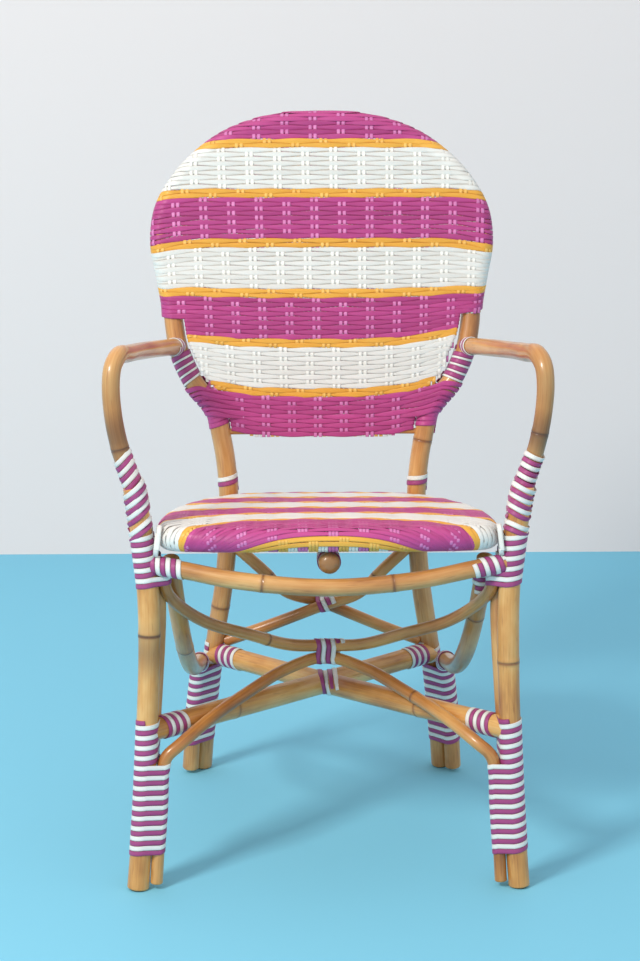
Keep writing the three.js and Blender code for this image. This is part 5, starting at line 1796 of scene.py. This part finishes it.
@dataclass
class WovenBack(Weave):
    """The woven sheet of the back, in bands of three colours."""

    name: str = "back"
    node: str = "woven_back"
    warp_offs: tuple = (-3.2, 3.2)
    warp_span: tuple = (479.5, 905.0)
    column_span: tuple = (510.0, 872.0)
    column_pitch: tuple = (34.2, 37.4)
    hoop_bottom: float = 470.0
    hoop_middle: float = 740.0
    low_edge: float = 640.0
    wrap_height: float = 632.0
    corner_wraps: tuple = (498.0, 535.0)
    corner_start: float = 84.0
    corner_width: float = 24.0
    post_clearance: float = 17.5
    warp_clearance: float = 19.0
    turn_back: tuple = (3.2, 2.2)
    edge_calm: float = 14.0
    low_turn: float = 600.0
    lead_heights: tuple = (482.0, 650.0)
    low_lead: float = 5.0
    climb_width: float = 42.0
    # Bands from the top: colour, number of rows, height of the band's bottom, phase.
    first: float = 903.0
    bands: tuple = (
        (Strip.MAGENTA, 7, 863.0, 1), (Strip.SAFFRON, 2, 852.0, 1),
        (Strip.WHITE, 9, 799.5, 1), (Strip.SAFFRON, 2, 788.5, 0),
        (Strip.MAGENTA, 9, 737.0, 1), (Strip.SAFFRON, 2, 725.5, 0),
        (Strip.WHITE, 9, 672.5, 0), (Strip.SAFFRON, 2, 661.0, 1),
        (Strip.MAGENTA, 9, 608.0, 1), (Strip.SAFFRON, 2, 597.0, 0),
        (Strip.WHITE, 9, 543.5, 1), (Strip.SAFFRON, 2, 532.5, 0),
        (Strip.MAGENTA, 9, 480.0, 1),
    )

    column_zero = {Strip.MAGENTA: (-6.1, -11.4), Strip.WHITE: (18.8, 15.4),
                   Strip.SAFFRON: (5.6, 2.6)}
    cap_stretches = ((Strip.MAGENTA, 866.0, 890.0), (Strip.WHITE, 808.0, 856.0))
    cap_distances = (24.0, 60.0, 6.1)
    cap_sink = 1.1

    def __post_init__(self) -> None:
        """Looks up the hoop and its side profile."""
        self.hoop = self.layout.back_frame().above(self.hoop_bottom)
        self.sleeve = Sleeve(self.hoop, (0, 2), FORWARD, self.radius,
                             (0.0, self.hoop_middle), False)
        half = self.layout.post(1).points
        self.profile = half[np.argsort(half[:, 2])]

    def setback(self, z: np.ndarray) -> np.ndarray:
        """The setback of the frame's centre line at these heights."""
        return np.interp(z, self.profile[:, 2], self.profile[:, 1])

    def post_x(self, z: np.ndarray) -> np.ndarray:
        """The half-spacing of the posts at these heights."""
        return np.interp(z, self.profile[:, 2], self.profile[:, 0])

    def in_corner(self, u: np.ndarray) -> np.ndarray:
        """How far these places lie in the sheet's bottom corners, squared."""
        return np.clip((np.abs(u) - self.corner_start) / self.corner_width, 0, 1) ** 2

    def sheet(self, places: np.ndarray, climbs: float = 0.0) -> np.ndarray:
        """The points of the sheet's flat part, which lies nearer the posts at the bottom."""
        x, z = places[:, 0], places[:, 1]
        lead = np.interp(z, self.lead_heights, [self.low_lead, self.radius])
        share = np.clip(1 - (self.post_x(z) - np.abs(x)) / self.climb_width, 0, 1)
        lead = lead + (self.radius - lead) * share * share * (3 - 2 * share) * climbs
        return np.stack([x, self.setback(z) - lead, z], -1)

    def round_corner(self, row: Row) -> bool:
        """Whether a row goes round the posts at the sheet's bottom corners."""
        return self.corner_wraps[0] < row.place < self.corner_wraps[1]

    def sheet_under(self, row: Row) -> Callable[[np.ndarray], np.ndarray]:
        """What gives the points of the flat part that a row lies on."""
        return partial(self.sheet, climbs=float(self.round_corner(row)))

    def shift(self, row: float, u: np.ndarray) -> np.ndarray:
        """How much higher than its place a row lies at these distances from the middle."""
        rows = [482, 512, 544, 579, 609, 644, 673, 704, 735, 766, 830, 860, 890]
        left = [6, 9, 9.5, 8, 6, 5, 4, 1, -1, 1, 0, -3, -6]
        right = [7, 12, 13, 14, 13, 10, 5, 2, -1, 1, 0, -3, -6]
        edge = np.interp(row, [482, 580, 640, 700, 900], [118, 150, 190, 200, 200])
        end = np.where(u < 0, np.interp(row, rows, left), np.interp(row, rows, right))
        droop = np.interp(row, [640, 735, 830], [2.5, 4.0, 1.0])
        drop = np.clip(np.abs(u) - 150, 0, 90) ** 2 / 2400.0 * droop
        corner = self.in_corner(u) * np.interp(row, [481, 506], [2.0, 0.0])
        return end * np.minimum(np.abs(u) / edge, 1.2) ** 3 - drop + corner

    def turning(self, place: np.ndarray, distance: float) -> float:
        """How far a row that leaves the sheet has turned outwards."""
        if place[1] < self.low_turn:
            return min(max((distance + 6) / 18, 0.0), 0.95)
        return min(max((distance - 1.1 * self.radius) / self.radius, 0.0), 0.9)

    def lay_row(self, row: Row, number: int) -> np.ndarray:
        """The rings of one row: round the hoop, or only between the posts lower down."""
        if row.place > self.wrap_height or self.round_corner(row):
            return super().lay_row(row, number)
        return self.lay_edged(row)

    def lay_edged(self, row: Row) -> np.ndarray:
        """The rings of a row that turns back at the sheet's edge between the posts."""
        edge = float(self.post_x(np.array([row.place]))[0]) - self.post_clearance
        us = np.linspace(-edge, edge, int(2 * edge / self.step))
        points = self.sheet(np.stack([us, row.place + self.shift(row.place, us)], -1))
        normals = np.tile(FORWARD, (len(us), 1))
        angles = np.linspace(0, math.pi, 8)[1:, None]
        out, back = self.turn_back
        for side in (1, -1):
            last = points[-1]
            turn = last + ACROSS * (side * out * np.sin(angles)) + BACKWARD * (
                back * (1 - np.cos(angles)))
            facing = ACROSS * (side * np.sin(angles)) + FORWARD * np.cos(angles)
            points = np.concatenate([points, turn])[::-1]
            normals = np.concatenate([normals, facing])[::-1]
        swell = self.swell(row, points[:, 0])
        calm = np.clip((edge - np.abs(points[:, 0])) / self.edge_calm, 0, 1)
        return ribbon(points, normals, self.weft, self.weft_wave * swell * calm,
                      1 + self.float_spread * swell * calm)

    def lay_more(self, skeins: dict[Strip, Skein]) -> None:
        """Lays strips along the back of the hoop's top, where the rows pass it at a slant."""
        heights = self.hoop.points[:, 2]
        for colour, low, high in self.cap_stretches:
            for part in unbroken(np.nonzero((heights > low) & (heights < high))[0]):
                for distance in np.arange(*self.cap_distances):
                    angle = distance / self.sleeve.radius
                    out = np.zeros((len(part), 3))
                    out[:, [0, 2]] = self.sleeve.normals[part]
                    normals = out * math.sin(angle) + FORWARD * math.cos(angle)
                    points = self.hoop.points[part] + normals * (self.sleeve.radius - self.cap_sink)
                    if len(part) > 5:
                        skeins[colour].add(ribbon(points, normals, self.weft,
                                                  np.zeros(len(points))))

    def under(self, places: np.ndarray, distance: np.ndarray) -> np.ndarray:
        """Whether a warp runs at these places."""
        u, v = places[:, 0], places[:, 1]
        inside = np.where(v < self.low_edge, np.abs(u) < self.post_x(v) - self.warp_clearance,
                          distance < self.radius * 1.15)
        return inside & (v > 479.0 + self.in_corner(u) * 9.0)


@dataclass
class WovenSeat(Weave):
    """The woven sheet of the seat, in bands of three colours."""

    name: str = "seat"
    node: str = "woven_seat"
    radius: float = 14.3
    weft: StripShape = StripShape(6.0, 1.15)
    warp: StripShape = StripShape(3.9, 1.0)
    reach: float = 58.0
    crown: float = 2.2
    crown_width: float = 70.0
    ring_middle: float = 190.0
    warp_offs: tuple = (-4.0, 0.0, 4.0)
    warp_span: tuple = (-60.0, 440.0)
    warp_half_width: float = 179.5
    warp_reach: float = 50.0
    column_pitch: tuple = (35.9, 35.9)
    front_corner: float = 176.0
    rear_corner: float = 70.0
    # Bands from the front: colour, number of rows, where the band ends, phase.
    first: float = -35.5
    bands: tuple = (
        (Strip.SAFFRON, 2, -22.5, 0), (Strip.MAGENTA, 13, 57.0, 1),
        (Strip.SAFFRON, 2, 69.0, 0), (Strip.WHITE, 9, 122.0, 1),
        (Strip.SAFFRON, 2, 133.0, 0), (Strip.MAGENTA, 9, 182.0, 1),
        (Strip.SAFFRON, 2, 193.0, 0), (Strip.WHITE, 9, 243.0, 1),
        (Strip.SAFFRON, 2, 254.0, 0), (Strip.MAGENTA, 8, 302.0, 1),
        (Strip.SAFFRON, 2, 313.0, 0), (Strip.WHITE, 9, 363.0, 1),
        (Strip.SAFFRON, 2, 374.0, 0), (Strip.MAGENTA, 6, 408.0, 1),
    )

    column_zero = {Strip.MAGENTA: (4.5, 4.5), Strip.WHITE: (-7.7, -7.7),
                   Strip.SAFFRON: (17.0, 17.0)}

    def __post_init__(self) -> None:
        """Looks up the ring."""
        self.sleeve = Sleeve(self.layout.ring(), (0, 1), UP, self.radius,
                             (0.0, self.ring_middle), True)

    def sheet(self, places: np.ndarray) -> np.ndarray:
        """The points of the sheet's flat part, slightly crowned."""
        x, y = places[:, 0], places[:, 1]
        _, distance, _ = self.sleeve.nearest(places)
        share = np.clip(-distance / self.crown_width, 0, 1)
        crown = self.crown * share * (2 - share)
        return np.stack([x, y, self.layout.ring_height(y) + self.radius + crown], -1)

    def shift(self, row: float, u: np.ndarray) -> np.ndarray:
        """How far a row is drawn forward, as a negative number."""
        most = np.interp(row, [-40, 0, 57, 69, 122, 134, 182, 260],
                         [75, 85, 103, 100, 60, 52, 25, 0])
        return -most * np.clip(np.abs(u) / self.layout.ring_half, 0, 1.0) ** 2.6

    def turning(self, place: np.ndarray, distance: float) -> float:
        """How far a row that leaves the sheet has turned outwards."""
        return min(max((distance - 0.4 * self.radius) / (1.6 * self.radius), 0.0), 0.85)

    def leaving(self, row: Row) -> float:
        """The least distance from the middle at which a row may leave the sheet."""
        if row.place < 70:
            return self.front_corner
        return 0.0 if row.place < 380 else self.rear_corner

    def under(self, places: np.ndarray, distance: np.ndarray) -> np.ndarray:
        """Whether a warp runs at these places, which lie so far outside the pole's line."""
        return (distance < self.warp_reach) & (np.abs(places[:, 0]) < self.warp_half_width)


# Feet and fasteners


@dataclass
class Fittings:
    """The glides and screws, which stay as they are in the CAD model."""

    steel: WornFinish = WornFinish("screw_steel")
    glide: WornFinish = WornFinish(
        "glide_plastic", "", srgb(58, 50, 44), srgb(122, 112, 100), (420.0, 5.0, 0.65),
        (0.4, 0.75), 0.42, 0.0002, ("IOR", 1.48))

    def build(self) -> None:
        """Dresses the glides and screws."""
        for name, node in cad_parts.items():
            if "glide" in name or "screw" in name:
                finish = self.glide if "glide" in name else self.steel
                node.data.materials.clear()
                node.data.materials.append(finish.material())
                log.info("%s: dressed", name)


# Studio


@dataclass
class Studio:
    """The floor, the wall, the lamps and the camera."""

    camera_place: tuple = (-0.0665, -3.1437, 1.1664)
    camera_turn: tuple = (77.2, 0.0, -1.1)
    lens: float = 95.1
    sensor_width: float = 36.0
    room_half: float = 6.0
    wall_setback: float = 1.387
    wall_height: float = 5.0
    floor_colour: tuple = srgb(126, 198, 224)
    wall_colour: tuple = srgb(238, 227, 224)
    key_power: float = 92.0
    key_size: float = 0.7
    key_place: tuple = (-1.9, -2.3, 2.7)
    key_aim: tuple = (0.0, 0.0, 0.4)
    key_colour: tuple = srgb(255, 250, 242)
    world_colour: tuple = srgb(250, 250, 252)
    world_strength: float = 0.86

    def build(self) -> None:
        """Makes the whole studio."""
        self.build_floor()
        self.build_light()
        self.build_camera()

    def plane(self, finish: StudioFinish, corners: Sequence[Sequence[float]],
              facing: Sequence[float]) -> None:
        """Makes a flat stage piece.

        Args:
            finish: Its finish, which also names it.
            corners: Its four corners in metres.
            facing: The side that it faces.
        """
        bm = bmesh.new()
        grid = bmesh.ops.create_grid(bm, x_segments=1, y_segments=1, size=1.0)
        for vert, place in zip(grid["verts"], corners):
            vert.co = place
        bm.normal_update()
        turned = [face for face in bm.faces if face.normal.dot(Vector(facing)) < 0]
        bmesh.ops.reverse_faces(bm, faces=turned)
        mesh = bpy.data.meshes.new(finish.name)
        bm.to_mesh(mesh)
        bm.free()
        plane = bpy.data.objects.new(finish.name, mesh)
        bpy.context.scene.collection.objects.link(plane)
        mesh.materials.append(finish.material())

    def build_floor(self) -> None:
        """Makes the floor and the wall behind it."""
        half, far, high = self.room_half, self.wall_setback, self.wall_height
        self.plane(StudioFinish("studio_floor", colour=self.floor_colour),
                   [(-half, -half, 0), (half, -half, 0), (-half, half, 0), (half, half, 0)],
                   UP)
        self.plane(StudioFinish("studio_wall", colour=self.wall_colour, one_sided=True),
                   [(-half, far, 0), (half, far, 0), (-half, far, high), (half, far, high)],
                   FORWARD)

    def build_light(self) -> None:
        """Makes the even light of the room and a square key lamp that points at the chair."""
        scene = bpy.context.scene
        world = bpy.data.worlds.new("room")
        scene.world = world
        world.use_nodes = True
        background = world.node_tree.nodes["Background"]
        background.inputs["Color"].default_value = self.world_colour
        background.inputs["Strength"].default_value = self.world_strength
        data = bpy.data.lights.new("key_lamp", "AREA")
        data.energy, data.size = self.key_power, self.key_size
        data.color = self.key_colour[:3]
        lamp = bpy.data.objects.new("key_lamp", data)
        scene.collection.objects.link(lamp)
        lamp.location = self.key_place
        ahead = Vector(self.key_aim) - Vector(self.key_place)
        lamp.rotation_euler = ahead.to_track_quat("-Z", "Y").to_euler()

    def build_camera(self) -> None:
        """Makes the camera at the photograph's place."""
        scene = bpy.context.scene
        data = bpy.data.cameras.new("camera")
        data.lens, data.sensor_width, data.sensor_fit = self.lens, self.sensor_width, "AUTO"
        camera = bpy.data.objects.new("camera", data)
        scene.collection.objects.link(camera)
        camera.location = self.camera_place
        camera.rotation_euler = [math.radians(turn) for turn in self.camera_turn]
        scene.camera = camera
        scene.view_settings.view_transform = "Standard"


def main() -> None:
    """Builds the chair and its studio."""
    logging.basicConfig(level=logging.INFO, format="%(name)s %(message)s")
    layout = Layout()
    Studio().build()
    Poles(layout).build()
    Lashings(layout).build()
    WovenBack(layout).build()
    WovenSeat(layout).build()
    Fittings().build()
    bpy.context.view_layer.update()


if __name__ == "__main__":
    main()
